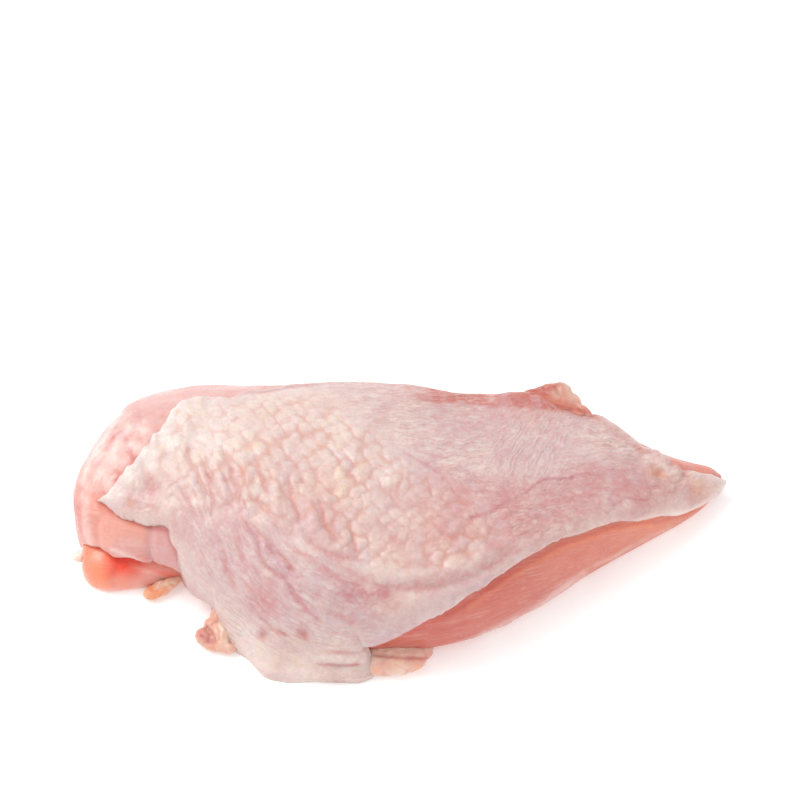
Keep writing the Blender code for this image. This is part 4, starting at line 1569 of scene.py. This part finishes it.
    def shape(self) -> Surface:
        """Works out the skin's outer and inner faces, its relief and its tints."""
        rows = self.crowded(self.rows, *self.row_crowding)
        columns = self.crowded(self.top_columns, *self.column_crowding)
        inner, normal = self.sheet(rows, columns)
        away = self.rim_distance(inner)
        share = np.clip(away / self.rim_width, 0.0, 1.0)
        bullnose = np.sqrt(np.maximum(1.0 - (1.0 - share) ** 2, 0.0))
        flat = (inner + normal * self.thick).reshape(-1, 3)
        brush = Brush(self.view.sees(flat))
        swell = 1.0 + self.rim_swell * brush.shaken(flat).dabs(*self.rim_lobes).reshape(away.shape)
        flat = (inner + normal * (self.thick * swell * bullnose)[..., None]).reshape(-1, 3)
        lift = (self.relief(flat, brush) * ease(away, 0.2, 2.4).ravel()).reshape(away.shape)
        outer = flat.reshape(inner.shape) + normal * lift[..., None]
        outer[..., 2] = np.maximum(outer[..., 2], CLEARANCE)

        under_columns = np.linspace(0.0, 1.0, self.under_columns + 2)[1:-1]
        lower, lower_normal = (grid[:, ::-1] for grid in self.sheet(rows, under_columns))
        lower = lower - lower_normal * self.under_sink
        lower[..., 2] = np.maximum(lower[..., 2], 0.0)
        loops = np.concatenate([outer, lower], axis=1)
        points = np.vstack([loops.reshape(-1, 3), loops[0].mean(axis=0), loops[-1].mean(axis=0)])
        surface = Surface(points, tube_faces(len(rows), loops.shape[1]))

        everywhere, beneath = Brush(self.view.sees(points)), np.zeros(lower.shape[:2])
        top = self.wrapped(np.ones(away.shape), beneath)
        faded = self.wrapped(ease(away, 0.5, 4.0), beneath)
        self.paint(surface, everywhere, top)
        masks = surface.masks
        # Painted shade: hollows of the relief are tinted with the blush colour.
        masks[Mask.BLUSH] = np.maximum(masks[Mask.BLUSH], self.wrapped(self.hollow_shade(lift), beneath))
        masks[Mask.BUMPS] *= faded
        masks[Mask.WRINKLES] *= np.maximum(faded, 0.15 * top)
        self.chart(surface, inner, lower, everywhere)
        return surface

    def hollow_shade(self, lift: np.ndarray) -> np.ndarray:
        """How far each place lies below its surroundings, as painted shade that tints the hollows blush.

        Args:
            lift: Grid of heights in millimetres.

        Returns:
            Mask from 0 to 1.
        """
        level = lift
        for _ in range(self.smoothing):
            padded = np.pad(level, 1, mode="edge")
            around = padded[:-2, 1:-1] + padded[2:, 1:-1] + padded[1:-1, :-2] + padded[1:-1, 2:]
            level = (2.0 * level + around) / 6.0
        return np.clip((level - lift) / self.hollow_depth, 0.0, 1.0)

    def chart(self, surface: Surface, inner: np.ndarray, lower: np.ndarray, brush: Brush) -> None:
        """Lays the charts of the bumps and of the wrinkles over the skin.

        Args:
            surface: The skin.
            inner: Grid of the inner face beneath the top.
            lower: Grid of the skin's underside.
            brush: Brush over the skin's points.
        """
        steps = np.linalg.norm(np.diff(inner, axis=1), axis=-1)
        passed = np.hstack([np.zeros((len(inner), 1)), np.cumsum(steps, axis=1)])
        knot = self.meat.knot_at_x(inner[:, 0, 0] + CENTRE[0])
        ridge = self.meat.points(knot, np.ones(len(knot)))[:, 1] - CENTRE[1]
        middle = np.array([np.interp(-y, -row[:, 1], gone) for y, row, gone in zip(ridge, inner, passed)])
        middle += np.maximum(inner[:, -1, 1] - ridge, 0.0) - np.maximum(ridge - inner[:, 0, 1], 0.0)
        s = self.wrapped(inner[..., 0], lower[..., 0])
        t = self.wrapped(passed - middle[:, None], -lower[..., 1])
        tall = t * (0.74 + 0.26 * ease(s, -45.0, 5.0))
        off = s - self.swirl_centre[0], t - self.swirl_centre[1]
        bent = np.arctan2(*off) * self.swirl_radius, np.hypot(*off)
        rising = 0.5 * s - 0.866 * t, 0.866 * s + 0.5 * t + 0.6 * np.sin(t / 5.0 + 0.15 * s)
        upper_right = (brush.seen[:, 0] > 455.0) & (brush.seen[:, 1] < 528.0)
        axes = {
            Chart.FLOW: ((s + tall) * DIAGONAL, (tall - s) * DIAGONAL),
            Chart.DRIFT: (s, t + 2.2 * np.sin(s / 19.0) + 0.9 * np.sin(s / 7.0 + 0.2 * t)),
            Chart.SWIRL: np.where(upper_right, rising, bent),
        }
        surface.charts |= {chart: np.stack([*pair, 0.0 * s], axis=1) for chart, pair in axes.items()}
        surface.masks[Mask.SWEEP] = np.maximum(
            brush.patch((
                (90, 420), (180, 442), (240, 492), (300, 517), (362, 556), (430, 577), (500, 592), (580, 640),
                (300, 730), (90, 700),
            ), 10.0),
            0.9 * brush.patch(((498, 412), (560, 404), (572, 440), (556, 490), (508, 492), (490, 462)), 26.0),
        )

    def relief(self, points: np.ndarray, brush: Brush) -> np.ndarray:
        """Height of the large forms: swells, lips, creases and the hem's roll.

        Args:
            points: Points of the smooth outer face.
            brush: Brush over these points.

        Returns:
            Millimetres outward at each point.
        """
        wavy = brush.shaken(points)
        lift = 0.45 * Grain(41).rough(points, 22.0, 2) + 0.16 * Grain(42).at(points, 6.5)
        lift += wavy.carved(self.ridges) - 0.9 * wavy.carved(self.orange_creases, 1.45) - wavy.carved(self.pink_creases)
        lip = (
            (332, 546), (345, 552), (362, 566), (396, 577), (430, 575), (454, 569), (482, 557), (503, 545),
            (518, 534),
        )
        groove = (
            (340, 566), (352, 574), (372, 584), (402, 590), (436, 587), (462, 580), (490, 568), (515, 554),
        )
        lift += 1.1 * wavy.crease(lip, 9.0) - 0.6 * wavy.crease(groove, 6.0)
        lift -= 1.3 * brush.stroke(((215, 388), (250, 383), (300, 378), (340, 380), (390, 388)), 13.0)
        folds = brush.patch((
            (165, 430), (190, 415), (260, 440), (345, 490), (375, 560), (330, 552), (250, 522), (195, 500),
        ), 14.0)
        lift += 0.7 * folds * Grain(43).rough(points, np.array([5.0, 14.0, 14.0]), 2)
        lower = brush.patch((
            (195, 510), (240, 520), (330, 562), (370, 592), (400, 620), (350, 640), (270, 640), (215, 600),
        ), 16.0)
        turned = points @ np.array([[0.6, 0.8, 0.0], [-0.8, 0.6, 0.0], [0.0, 0.0, 1.0]])
        lift += 0.45 * lower * Grain(44).rough(turned, np.array([5.0, 14.0, 9.0]), 2)
        lift += 0.9 * wavy.dabs(*self.lumps)
        for across, down, radius, depth in self.pits:
            lift -= depth * wavy.dabs((across, down, radius, 1.0))
        return lift

    def paint(self, surface: Surface, brush: Brush, top: np.ndarray) -> None:
        """Paints the bumps, wrinkles and tints, with painted shade in creases and the lip's groove and two painted
        highlights on bump crowns.

        Args:
            surface: The skin.
            brush: Brush over its points.
            top: 1 on the outer face and 0 beneath.
        """
        masks, points = surface.masks, surface.points
        wavy = brush.shaken(points)
        bumps = brush.patch((
            (160, 428), (172, 410), (205, 399), (260, 394), (305, 396), (345, 408), (378, 430), (402, 452),
            (440, 476), (472, 500), (492, 528), (488, 552), (462, 570), (430, 577), (395, 577), (362, 565),
            (330, 549), (300, 531), (262, 522), (225, 508), (196, 494), (172, 470),
        ), 13.0)
        uneven = (0.75 + 0.25 * Grain(51).at(points, 14.0)) * (0.88 + 0.12 * ease(brush.seen[:, 1], 425.0, 480.0))
        sparse = brush.dabs(
            (645, 498, 24, 0.6), (685, 488, 24, 0.65), (612, 450, 20, 0.5), (560, 545, 22, 0.25),
            (520, 530, 24, 0.35), (575, 430, 16, 0.3),
        )
        flap = brush.patch(((110, 492), (150, 450), (172, 412), (200, 470), (196, 494), (160, 520), (130, 512)), 9.0)
        masks[Mask.BUMPS] = np.maximum.reduce([bumps * uneven, sparse, 0.48 * flap]) * top
        wrinkles = brush.patch((
            (340, 388), (440, 388), (540, 392), (600, 418), (650, 450), (725, 470), (727, 490), (640, 512),
            (590, 528), (540, 540), (512, 530), (488, 505), (455, 478), (410, 450), (380, 425),
        ), 14.0)
        lower = brush.patch((
            (190, 500), (250, 530), (330, 562), (365, 592), (400, 600), (370, 640), (290, 655), (225, 640),
            (190, 560),
        ), 18.0)
        calm = 1.0 - 0.5 * brush.patch((
            (585, 440), (660, 462), (730, 470), (730, 500), (640, 530), (570, 545), (560, 500),
        ), 20.0)
        masks[Mask.WRINKLES] = (np.maximum(wrinkles, 0.66 * lower) * calm + 0.12) * top
        masks[Mask.CREAM] = (
            0.75 * brush.patch((
                (165, 412), (250, 396), (335, 398), (385, 440), (420, 490), (360, 510), (280, 500), (200, 480),
                (150, 470),
            ), 22.0)
            + brush.dabs(
                (400, 566, 20, 0.45), (440, 562, 18, 0.35), (470, 548, 16, 0.25), (128, 470, 22, 0.5),
                (300, 655, 40, 0.4), (248, 645, 22, 0.5), (704, 480, 14, 0.45), (714, 486, 10, 0.4),
                (663, 465, 6, 0.8), (676, 472, 5, 0.6), (696, 481, 7, 0.5), (690, 492, 16, 0.35),
                (664, 456, 10, 0.25),
            )
            + 0.15 * brush.stroke(((380, 634), (425, 614), (478, 584), (505, 566)), 6.0)
        )
        blush = (
            brush.dabs(
                (520, 524, 24, 0.85), (548, 512, 22, 0.65), (575, 500, 24, 0.6), (600, 492, 26, 0.45),
                (640, 482, 26, 0.42), (690, 488, 22, 0.36), (258, 597, 24, 0.75), (262, 634, 6, 0.9),
                (303, 633, 8, 1.0), (150, 488, 10, 0.6), (136, 502, 9, 0.5), (358, 594, 16, 1.0), (386, 592, 12, 0.9),
                (588, 474, 14, 0.5), (618, 474, 18, 0.35), (700, 494, 20, 0.4), (706, 488, 12, 0.4),
                (672, 504, 16, 0.3), (640, 508, 16, 0.25), (662, 478, 24, 0.35), (622, 500, 24, 0.25),
                (505, 490, 20, 0.35), (236, 518, 16, 0.45), (390, 608, 18, 0.45), (410, 545, 20, 0.35),
                (445, 540, 18, 0.3), (384, 556, 14, 0.25), (290, 470, 12, 0.25), (530, 500, 30, 0.35),
                (690, 508, 16, 0.3), (357, 640, 5, 0.5), (545, 415, 26, 0.35), (610, 440, 22, 0.35),
                (450, 525, 34, 0.32), (400, 525, 30, 0.2), (470, 500, 26, 0.3), (640, 494, 18, 0.25),
                (430, 492, 28, 0.22), (474, 490, 18, 0.2), (452, 540, 20, 0.22), (560, 560, 30, 0.2),
                (300, 520, 20, 0.18), (500, 412, 18, 0.4), (528, 416, 18, 0.3), (464, 408, 16, 0.35),
                (500, 432, 20, 0.25), (500, 503, 18, 0.28), (464, 503, 18, 0.22), (500, 528, 18, 0.3),
                (464, 552, 14, 0.18), (140, 504, 12, 0.35), (176, 480, 14, 0.18), (284, 408, 20, 0.18),
                (320, 408, 18, 0.18), (248, 530, 14, 0.2), (248, 552, 14, 0.15), (205, 545, 24, 0.2),
                (330, 520, 14, 0.25), (500, 545, 18, 0.35),
            )
            # Painted shade: blush along the groove under the lip.
            + 0.75 * wavy.crease((
                (362, 592), (384, 591), (410, 586), (440, 581), (470, 572), (500, 560), (524, 548),
            ), 6.0)
            + 0.4 * brush.strokes(
                (((148, 476), (152, 488), (157, 502)), 4.0), (((240, 585), (262, 598), (276, 612)), 6.0),
            )
        )
        # Painted shade: the pink creases are tinted blush along their lines.
        crease_shade = wavy.creases((path, width) for path, width, _ in self.pink_creases[:-2])
        # The pits are tinted blush, more where they are deeper.
        pit_tint = wavy.dabs(*((across, down, 1.1 * radius, 0.6 * depth) for across, down, radius, depth in self.pits))
        masks[Mask.BLUSH] = np.maximum.reduce([blush, 0.9 * crease_shade, pit_tint])
        masks[Mask.LILAC] = (
            0.60 * brush.patch((
                (190, 530), (250, 525), (330, 565), (370, 590), (400, 640), (300, 640), (230, 620), (190, 580),
            ), 24.0)
            + brush.dabs(
                (352, 590, 12, 0.8), (386, 592, 8, 0.7), (470, 420, 40, 0.35), (500, 416, 24, 0.35),
                (440, 440, 40, 0.3), (370, 420, 24, 0.35), (540, 470, 36, 0.4), (420, 470, 20, 0.4),
                (600, 470, 40, 0.2), (160, 482, 12, 0.3), (540, 560, 24, 0.2), (500, 492, 18, 0.5),
                (290, 468, 18, 0.45), (520, 440, 24, 0.25), (560, 436, 26, 0.35), (384, 498, 22, 0.3),
                (360, 470, 16, 0.2), (236, 470, 14, 0.25), (236, 516, 14, 0.3), (165, 430, 4, 0.6),
                (151, 446, 4, 0.6), (138, 462, 4, 0.6), (119, 484, 4, 0.5), (182, 404, 4, 0.5), (168, 452, 5, 0.5),
            )
            + 0.6 * brush.strokes(
                (((246, 526), (264, 548), (292, 573)), 4.0), (((274, 568), (292, 590), (315, 617)), 3.5),
            )
            + 0.4 * brush.stroke(((215, 390), (250, 387), (300, 384), (345, 386)), 8.0)
            + 0.55 * brush.stroke(((376, 640), (400, 628), (430, 614), (462, 596), (488, 580)), 9.0)
        )
        # Painted shade: the orange creases go into the furrow shade mask, which tints them darker.
        masks[Mask.FURROW_SHADE] = 0.75 * top * wavy.creases((path, 1.35 * width) for path, width, _ in self.orange_creases)
        spread = ease(brush.seen[:, 0] + 34.0 * Grain(57).rough(points, 7.0), 400.0, 446.0)
        masks[Mask.FLESH] = (
            spread * brush.patch((
                (400, 382), (520, 382), (560, 394), (596, 408), (598, 418), (560, 411), (520, 407), (480, 405),
                (430, 402), (400, 399),
            ), 5.0)
            + 0.4 * brush.strokes(
                (((505, 398), (536, 401), (562, 408), (592, 414)), 5.0),
                (((600, 420), (626, 440), (650, 456), (690, 472)), 3.0),
            )
            + 0.6 * brush.strokes(
                (((300, 633), (306, 634)), 2.6), (((262, 630), (263, 640)), 2.2),
                (((320, 665), (340, 666), (357, 665)), 1.5),
            )
            + 0.7 * brush.stroke(((436, 393), (480, 398), (520, 400)), 6.0)
            + wavy.dabs(
                (490, 395, 9, 0.6), (500, 396, 8, 0.3), (659, 473, 4, 0.5), (640, 448, 4, 0.7), (648, 453, 3, 0.5),
                (618, 427, 5, 0.5), (628, 437, 4, 0.5), (672, 474, 4, 0.5), (684, 468, 4, 0.6),
            )
        )
        masks[Mask.ORANGE] = brush.dabs(
            (305, 480, 7, 0.35), (320, 480, 14, 0.15), (132, 500, 7, 0.45), (658, 473, 6, 1.0), (652, 468, 4, 0.5),
            (664, 476, 4, 0.6), (701, 488, 8, 0.85), (690, 480, 5, 0.4), (340, 500, 18, 0.25), (320, 447, 6, 0.3),
            (268, 452, 6, 0.3), (445, 472, 6, 0.3), (430, 520, 8, 0.25), (362, 520, 8, 0.25), (400, 560, 8, 0.2),
            (470, 535, 8, 0.25),
        )
        veins = (
            (0.9, ((536, 484), (548, 479), (562, 477), (572, 478)), 1.7, 1.1),
            (0.7, ((470, 518), (494, 511), (510, 501), (526, 493), (536, 484)), 2.4, 1.6),
            (0.5, ((570, 478), (584, 475), (598, 475), (612, 469)), 1.5, 1.0),
            (0.5, ((606, 514), (613, 507), (623, 499), (647, 499)), 1.6, 1.2),
            (0.4, ((406, 454), (424, 466), (442, 474), (455, 494)), 1.6, 1.0),
            (0.3, ((560, 470), (580, 466), (600, 462)), 2.0, 1.2),
        )
        masks[Mask.VEIN] = sum(strength * wavy.stroke(path, *widths) for strength, path, *widths in veins) + wavy.dabs(
            (350, 592, 8, 0.65), (385, 592, 7, 0.6), (364, 598, 6, 0.45), (262, 634, 4, 0.55), (303, 633, 5, 0.75),
            (291, 570, 6, 0.2), (268, 545, 5, 0.2), (250, 600, 8, 0.25), (300, 590, 5, 0.3),
        )
        masks[Mask.PALE] = (
            0.6 * brush.strokes(
                (((99, 500), (113, 493), (126, 478), (140, 464), (152, 448), (158, 436), (170, 418), (182, 408)),
                    9.0),
                (((508, 578), (560, 548), (600, 534), (640, 522), (685, 515), (712, 499), (724, 485)), 4.0),
            )
            + brush.dabs(
                (172, 443, 10, 1.0), (157, 435, 6, 0.8), (174, 414, 9, 0.9), (146, 456, 8, 0.8), (129, 472, 8, 0.8),
                (113, 494, 8, 0.6), (150, 466, 6, 0.5), (656, 460, 6, 0.6), (665, 466, 6, 0.6), (648, 456, 4, 0.5),
                (673, 471, 5, 0.5), (696, 474, 8, 0.5), (712, 478, 8, 0.5), (644, 462, 6, 0.5), (176, 502, 5, 0.5),
                (194, 502, 5, 0.5), (345, 430, 14, 0.3), (627, 505, 7, 0.5), (678, 510, 11, 0.5), (706, 490, 8, 0.3),
                # The pale dabs at (388, 480) and (392, 470) are painted highlights on bump crowns.
                (430, 610, 20, 0.2), (220, 430, 36, 0.6), (200, 460, 24, 0.3), (388, 480, 8, 0.7), (392, 470, 5, 0.6),
                (345, 456, 10, 0.3), (300, 420, 26, 0.3), (520, 440, 20, 0.2), (238, 592, 14, 0.35),
                (252, 634, 16, 0.3), (240, 640, 20, 0.45), (262, 664, 18, 0.45), (300, 672, 20, 0.35),
                (225, 615, 14, 0.25), (560, 450, 20, 0.2), (622, 452, 9, 0.5), (600, 455, 8, 0.3),
            )
        )

    def build(self) -> None:
        finish = SkinFinish().build("raw_skin")
        piece = self.shape().object("skin_dressed", finish)
        folds = {"Spacing": 2.1, "Stretch": 2.6, "Height": self.fold_height * MM, "Seed": 3}
        bumps = {
            "Pitch": self.bump_pitch, "Height": self.bump_height * MM, "Irregularity": 0.58, "Overlap": 0.60,
            "Reach": 0.64, "Seed": 5,
        }
        work_tree(piece, fine_folds(folds), {**folds, "Finish": finish})
        work_tree(piece, follicle_bumps(bumps), {**bumps, "Finish": finish})
        finish_piece(piece, "skin")


@dataclass
class FatTag:
    """A scrap of fat made of a few soft lobes that run into each other.

    Each lobe holds its centre, its half sizes and its turn in degrees. Tints hold
    dabs and lines hold strokes, by mask.
    """

    name: str
    lobes: tuple[tuple[tuple[float, ...], tuple[float, ...], float], ...]
    seed: int
    roughness: float
    finish: FatFinish = FatFinish()
    tints: dict[Mask, tuple[Dab, ...]] = field(default_factory=dict)
    lines: dict[Mask, tuple[Line, ...]] = field(default_factory=dict)
    creases: tuple[Crease, ...] = ()
    voxel: float = 0.32
    relaxing: float = 0.6
    rounds: int = 6
    lowest: float = 0.05

    def lumps(self) -> bpy.types.Object:
        """Joins the lobes into one closed skin by a fine remesh."""
        edit = bmesh.new()
        for centre, half, degrees in self.lobes:
            made = bmesh.ops.create_icosphere(edit, subdivisions=4, radius=1.0)
            cos, sin = math.cos(math.radians(degrees)), math.sin(math.radians(degrees))
            for vert in made["verts"]:
                x, y, z = (vert.co[a] * half[a] for a in range(3))
                x, y = x * cos - y * sin + centre[0], x * sin + y * cos + centre[1]
                vert.co = (x * MM, y * MM, max(z + centre[2], self.lowest) * MM)
        mesh = bpy.data.meshes.new(self.name)
        edit.to_mesh(mesh)
        edit.free()
        piece = bpy.data.objects.new(self.name + "_lobes", mesh)
        bpy.context.collection.objects.link(piece)
        remesh = piece.modifiers.new("join", "REMESH")
        remesh.mode, remesh.voxel_size = "VOXEL", self.voxel * MM
        relax = piece.modifiers.new("relax", "SMOOTH")
        relax.factor, relax.iterations = self.relaxing, self.rounds
        flatten(piece)
        return piece

    def build(self, view: Viewpoint) -> None:
        """Args:
            view: The camera that its marks are seen from.
        """
        lumps = self.lumps()
        mesh = lumps.data
        points, normals = np.zeros(len(mesh.vertices) * 3), np.zeros(len(mesh.vertices) * 3)
        mesh.vertices.foreach_get("co", points)
        mesh.vertex_normals.foreach_get("vector", normals)
        points, normals = points.reshape(-1, 3) / MM, normals.reshape(-1, 3)
        faces = [tuple(face.vertices) for face in mesh.polygons]
        bpy.data.objects.remove(lumps, do_unlink=True)
        grain, brush = Grain(self.seed), Brush(view.sees(points))
        lift = self.roughness * (grain.rough(points, 2.6) + 0.5 * grain.at(points, 1.1))
        for path, width, depth in self.creases:
            lift -= depth * brush.stroke(path, width)
        points = points + normals * lift[:, None]
        points[:, 2] = np.maximum(points[:, 2], CLEARANCE)
        surface = Surface(points, faces)
        surface.masks |= {mask: brush.dabs(*spots) for mask, spots in self.tints.items()}
        for mask, lines in self.lines.items():
            surface.masks[mask] = np.maximum(surface.masks[mask], brush.strokes(*lines))
        piece = surface.object(self.name + "_dressed", self.finish.build(self.name))
        finish_piece(piece, self.name)


@dataclass
class FatTags:
    """All scraps of fat round the rim."""

    view: Viewpoint
    tags: tuple[FatTag, ...] = (
        FatTag(
            "fat_tag_left", (
                ((-70.8, -18.2, 1.8), (3.0, 2.1, 1.8), 14.0), ((-68.6, -17.0, 2.1), (3.0, 2.3, 1.9), 28.0),
                ((-66.0, -15.6, 2.6), (3.4, 1.8, 1.7), 32.0), ((-64.0, -14.4, 2.9), (2.4, 1.3, 1.1), 32.0),
                ((-70.2, -15.2, 1.4), (1.8, 1.3, 1.2), 60.0),
            ), 61, 0.26,
            tints={
                Mask.PALE: ((172, 578, 9, 0.9), (160, 580, 7, 0.7)),
                Mask.ORANGE: ((156, 594, 8, 1.0), (166, 590, 6, 0.7), (150, 587, 5, 0.7)),
                Mask.FLESH: ((162, 586, 3, 0.25),),
            },
            creases=((((158, 590), (166, 587), (174, 584)), 1.6, 0.3),),
        ),
        FatTag(
            "fat_tag_corner", (
                ((-51.6, -27.4, 3.4), (3.0, 3.4, 3.0), 8.0), ((-54.2, -29.6, 2.8), (1.9, 2.2, 2.2), 20.0),
                ((-55.8, -32.6, 2.6), (2.3, 2.4, 2.3), 0.0), ((-51.0, -32.4, 3.0), (3.2, 4.2, 2.8), 0.0),
                ((-50.4, -35.8, 2.0), (4.2, 2.0, 1.9), -12.0), ((-53.8, -34.8, 1.8), (1.9, 1.6, 1.6), 0.0),
                ((-52.8, -24.6, 3.0), (1.4, 1.3, 1.3), 0.0), ((-49.2, -30.0, 4.2), (2.4, 3.0, 1.6), 0.0),
            ), 63, 0.46,
            FatFinish(
                body=linear(230, 194, 176), deep=linear(220, 160, 144), flesh=linear(198, 112, 106),
                orange=linear(230, 164, 126),
            ),
            tints={
                Mask.FLESH: ((202, 635, 6, 0.9), (209, 641, 4, 0.7), (214, 634, 3, 0.6), (222, 613, 3, 0.4),
                    (206, 626, 3, 0.4)),
                Mask.PALE: ((222, 628, 7, 0.7), (224, 645, 6, 0.5)),
                Mask.ORANGE: ((214, 618, 6, 0.6), (212, 652, 7, 0.6), (228, 622, 4, 0.4)),
                Mask.BLUSH: ((214, 644, 7, 0.6),),
            },
            creases=(
                (((206, 628), (211, 634), (214, 643)), 1.8, 0.9), (((216, 622), (220, 630), (219, 640)), 1.6, 0.6),
            ),
        ),
        FatTag(
            "fat_tag_front", (
                ((-7.6, -40.2, 3.0), (4.6, 4.5, 3.1), 0.0), ((-2.4, -40.4, 3.2), (5.0, 4.6, 3.3), 2.0),
                ((2.2, -39.6, 3.0), (4.4, 4.2, 3.0), 10.0), ((5.4, -37.6, 2.4), (3.4, 2.6, 2.3), 36.0),
                ((-3.4, -41.6, 1.7), (8.6, 3.0, 1.7), 2.0), ((-4.0, -37.2, 5.0), (6.6, 1.6, 1.7), 0.0),
                ((3.0, -36.6, 4.6), (4.4, 1.4, 1.5), 6.0),
            ), 67, 0.18,
            FatFinish(body=linear(231, 196, 183), deep=linear(224, 168, 153), flesh=linear(204, 112, 102)),
            tints={
                Mask.FLESH: ((412, 658, 6, 0.55), (424, 657, 6, 0.5), (432, 655, 4, 0.4)),
                Mask.PALE: ((372, 662, 8, 0.5), (400, 670, 10, 0.45), (372, 648, 8, 0.7), (388, 648, 9, 0.8),
                    (404, 650, 8, 0.6), (420, 652, 6, 0.4)),
                Mask.ORANGE: ((378, 672, 7, 0.5), (418, 668, 9, 0.6), (395, 662, 9, 0.3)),
            },
            # Painted shade: the flesh line along the tag's top lies where the skin's edge shades it.
            lines={Mask.FLESH: ((((362, 652), (384, 655), (404, 657), (426, 658)), 2.4),)},
            creases=(
                (((364, 653), (384, 655.5), (404, 657.5), (424, 658)), 2.0, 0.45),
                (((396, 664), (404, 668), (410, 674)), 1.6, 0.3),
            ),
        ),
        FatTag(
            "fat_tag_back", (
                ((43.4, 36.8, 20.6), (4.8, 2.6, 2.0), -12.0), ((46.0, 38.8, 20.6), (3.8, 2.4, 1.9), -20.0),
                ((49.2, 36.0, 19.8), (3.3, 2.1, 2.0), -50.0), ((48.2, 33.8, 20.2), (4.2, 2.2, 1.8), -34.0),
                ((39.6, 36.6, 21.7), (5.0, 1.7, 1.5), -4.0), ((43.4, 33.8, 22.5), (6.4, 2.7, 1.5), -22.0),
                ((48.6, 32.0, 21.2), (4.4, 2.1, 1.5), -36.0), ((35.6, 34.8, 22.9), (4.6, 1.5, 1.2), -4.0),
                ((52.0, 32.0, 19.7), (3.4, 1.7, 1.4), -42.0), ((42.0, 38.5, 21.3), (3.6, 1.8, 1.5), 10.0),
                ((46.6, 37.4, 17.0), (5.8, 3.2, 3.4), -16.0),
            ), 71, 0.16,
            FatFinish(
                body=linear(216, 166, 154), deep=linear(208, 140, 126), flesh=linear(190, 100, 88),
                pale=linear(221, 196, 178),
            ),
            tints={
                Mask.FLESH: ((541, 393, 9, 0.9), (530, 393, 9, 0.6), (552, 401, 8, 0.7), (574, 408, 7, 0.6),
                    (537, 387, 6, 0.9), (563, 404, 8, 0.6), (554, 387, 6, 0.7), (590, 409, 6, 0.6)),
                Mask.ORANGE: ((560, 406, 12, 0.5), (580, 407, 9, 0.5), (548, 395, 10, 0.3)),
                Mask.PALE: ((574, 392, 9, 0.8), (568, 385, 5, 0.5), (582, 400, 5, 0.4), (556, 394, 5, 0.5)),
                Mask.BLUSH: ((556, 390, 9, 0.5), (582, 404, 6, 0.4), (548, 405, 12, 0.6)),
            },
            # Painted shade: the flesh line along the tag's base lies where it meets the skin.
            lines={Mask.FLESH: ((((536, 399), (556, 405), (584, 411)), 2.6),)},
            creases=(
                (((556, 384), (558, 392), (562, 400)), 2.6, 0.5), (((542, 386), (550, 394), (560, 400)), 2.4, 0.3),
                (((574, 386), (573, 394), (577, 402)), 2.2, 0.35),
            ),
        ),
        FatTag(
            "fat_tag_end", (
                ((-92.2, -8.2, 5.0), (2.4, 1.7, 1.6), 10.0), ((-90.4, -7.0, 5.8), (1.7, 1.5, 1.4), 0.0),
            ), 73, 0.18,
            FatFinish(body=linear(248, 226, 220), deep=linear(240, 200, 192)),
            tints={Mask.PALE: ((78, 552, 8, 0.6),)},
        ),
    )

    def build(self) -> None:
        """Makes every scrap."""
        for tag in self.tags:
            tag.build(self.view)


@dataclass(frozen=True)
class Studio:
    """Plain pale floor and soft light.

    Each lamp holds its name, its place and its size in metres, and its watts.
    """

    floor_size: float = 4.0
    floor_tint: Colour = (0.90, 0.90, 0.90)
    floor_glow: float = 0.25
    sky: float = 0.78
    lamps: tuple[tuple[str, tuple[float, float, float], float, float], ...] = (
        ("key", (-0.62, 0.22, 0.95), 0.6, 6.4), ("fill", (0.8, -0.5, 0.9), 1.0, 1.6),
    )

    def floor(self) -> None:
        """Makes the floor just under the breast."""
        half = self.floor_size / 2.0
        corners = [(-half, -half, 0.0), (half, -half, 0.0), (half, half, 0.0), (-half, half, 0.0)]
        mesh = bpy.data.meshes.new("floor")
        mesh.from_pydata(corners, [], [(0, 1, 2, 3)])
        material = bpy.data.materials.new("floor")
        material.use_nodes = True
        values = {
            "Base Color": (*self.floor_tint, 1.0), "Roughness": 0.85, "Specular IOR Level": 0.1,
            "Emission Color": (1.0, 1.0, 1.0, 1.0), "Emission Strength": self.floor_glow,
        }
        for key, value in values.items():
            material.node_tree.nodes["Principled BSDF"].inputs[key].default_value = value
        mesh.materials.append(material)
        floor = bpy.data.objects.new("floor", mesh)
        bpy.context.collection.objects.link(floor)

    def lamp(self, name: str, place: tuple[float, float, float], size: float, power: float) -> None:
        """Hangs a square soft lamp that looks at the breast.

        Args:
            name: Name of the lamp.
            place: Its place in metres.
            size: Side of the square in metres.
            power: Power in watts.
        """
        data = bpy.data.lights.new(name, "AREA")
        data.size, data.energy = size, power
        lamp = bpy.data.objects.new(name, data)
        lamp.location = place
        x, y, z = place
        lamp.rotation_euler = (math.atan2(math.hypot(x, y), z), 0.0, math.atan2(x, -y))
        bpy.context.collection.objects.link(lamp)

    def build(self) -> None:
        """Sets the floor, the sky, the lamps and the plain view transform."""
        self.floor()
        world = bpy.data.worlds.new("studio")
        world.use_nodes = True
        sky = world.node_tree.nodes["Background"]
        sky.inputs[0].default_value = (1.0, 1.0, 1.0, 1.0)
        sky.inputs[1].default_value = self.sky
        bpy.context.scene.world = world
        for lamp in self.lamps:
            self.lamp(*lamp)
        bpy.context.scene.view_settings.view_transform = "Standard"
        bpy.context.scene.view_settings.look = "None"


def main() -> None:
    """Builds every piece in order."""
    view = Viewpoint()
    view.build()
    Studio().build()
    for part in (BreastMeat(view), InnerFillet(view), Skin(view), FatTags(view)):
        part.build()


if __name__ == "__main__":
    main()
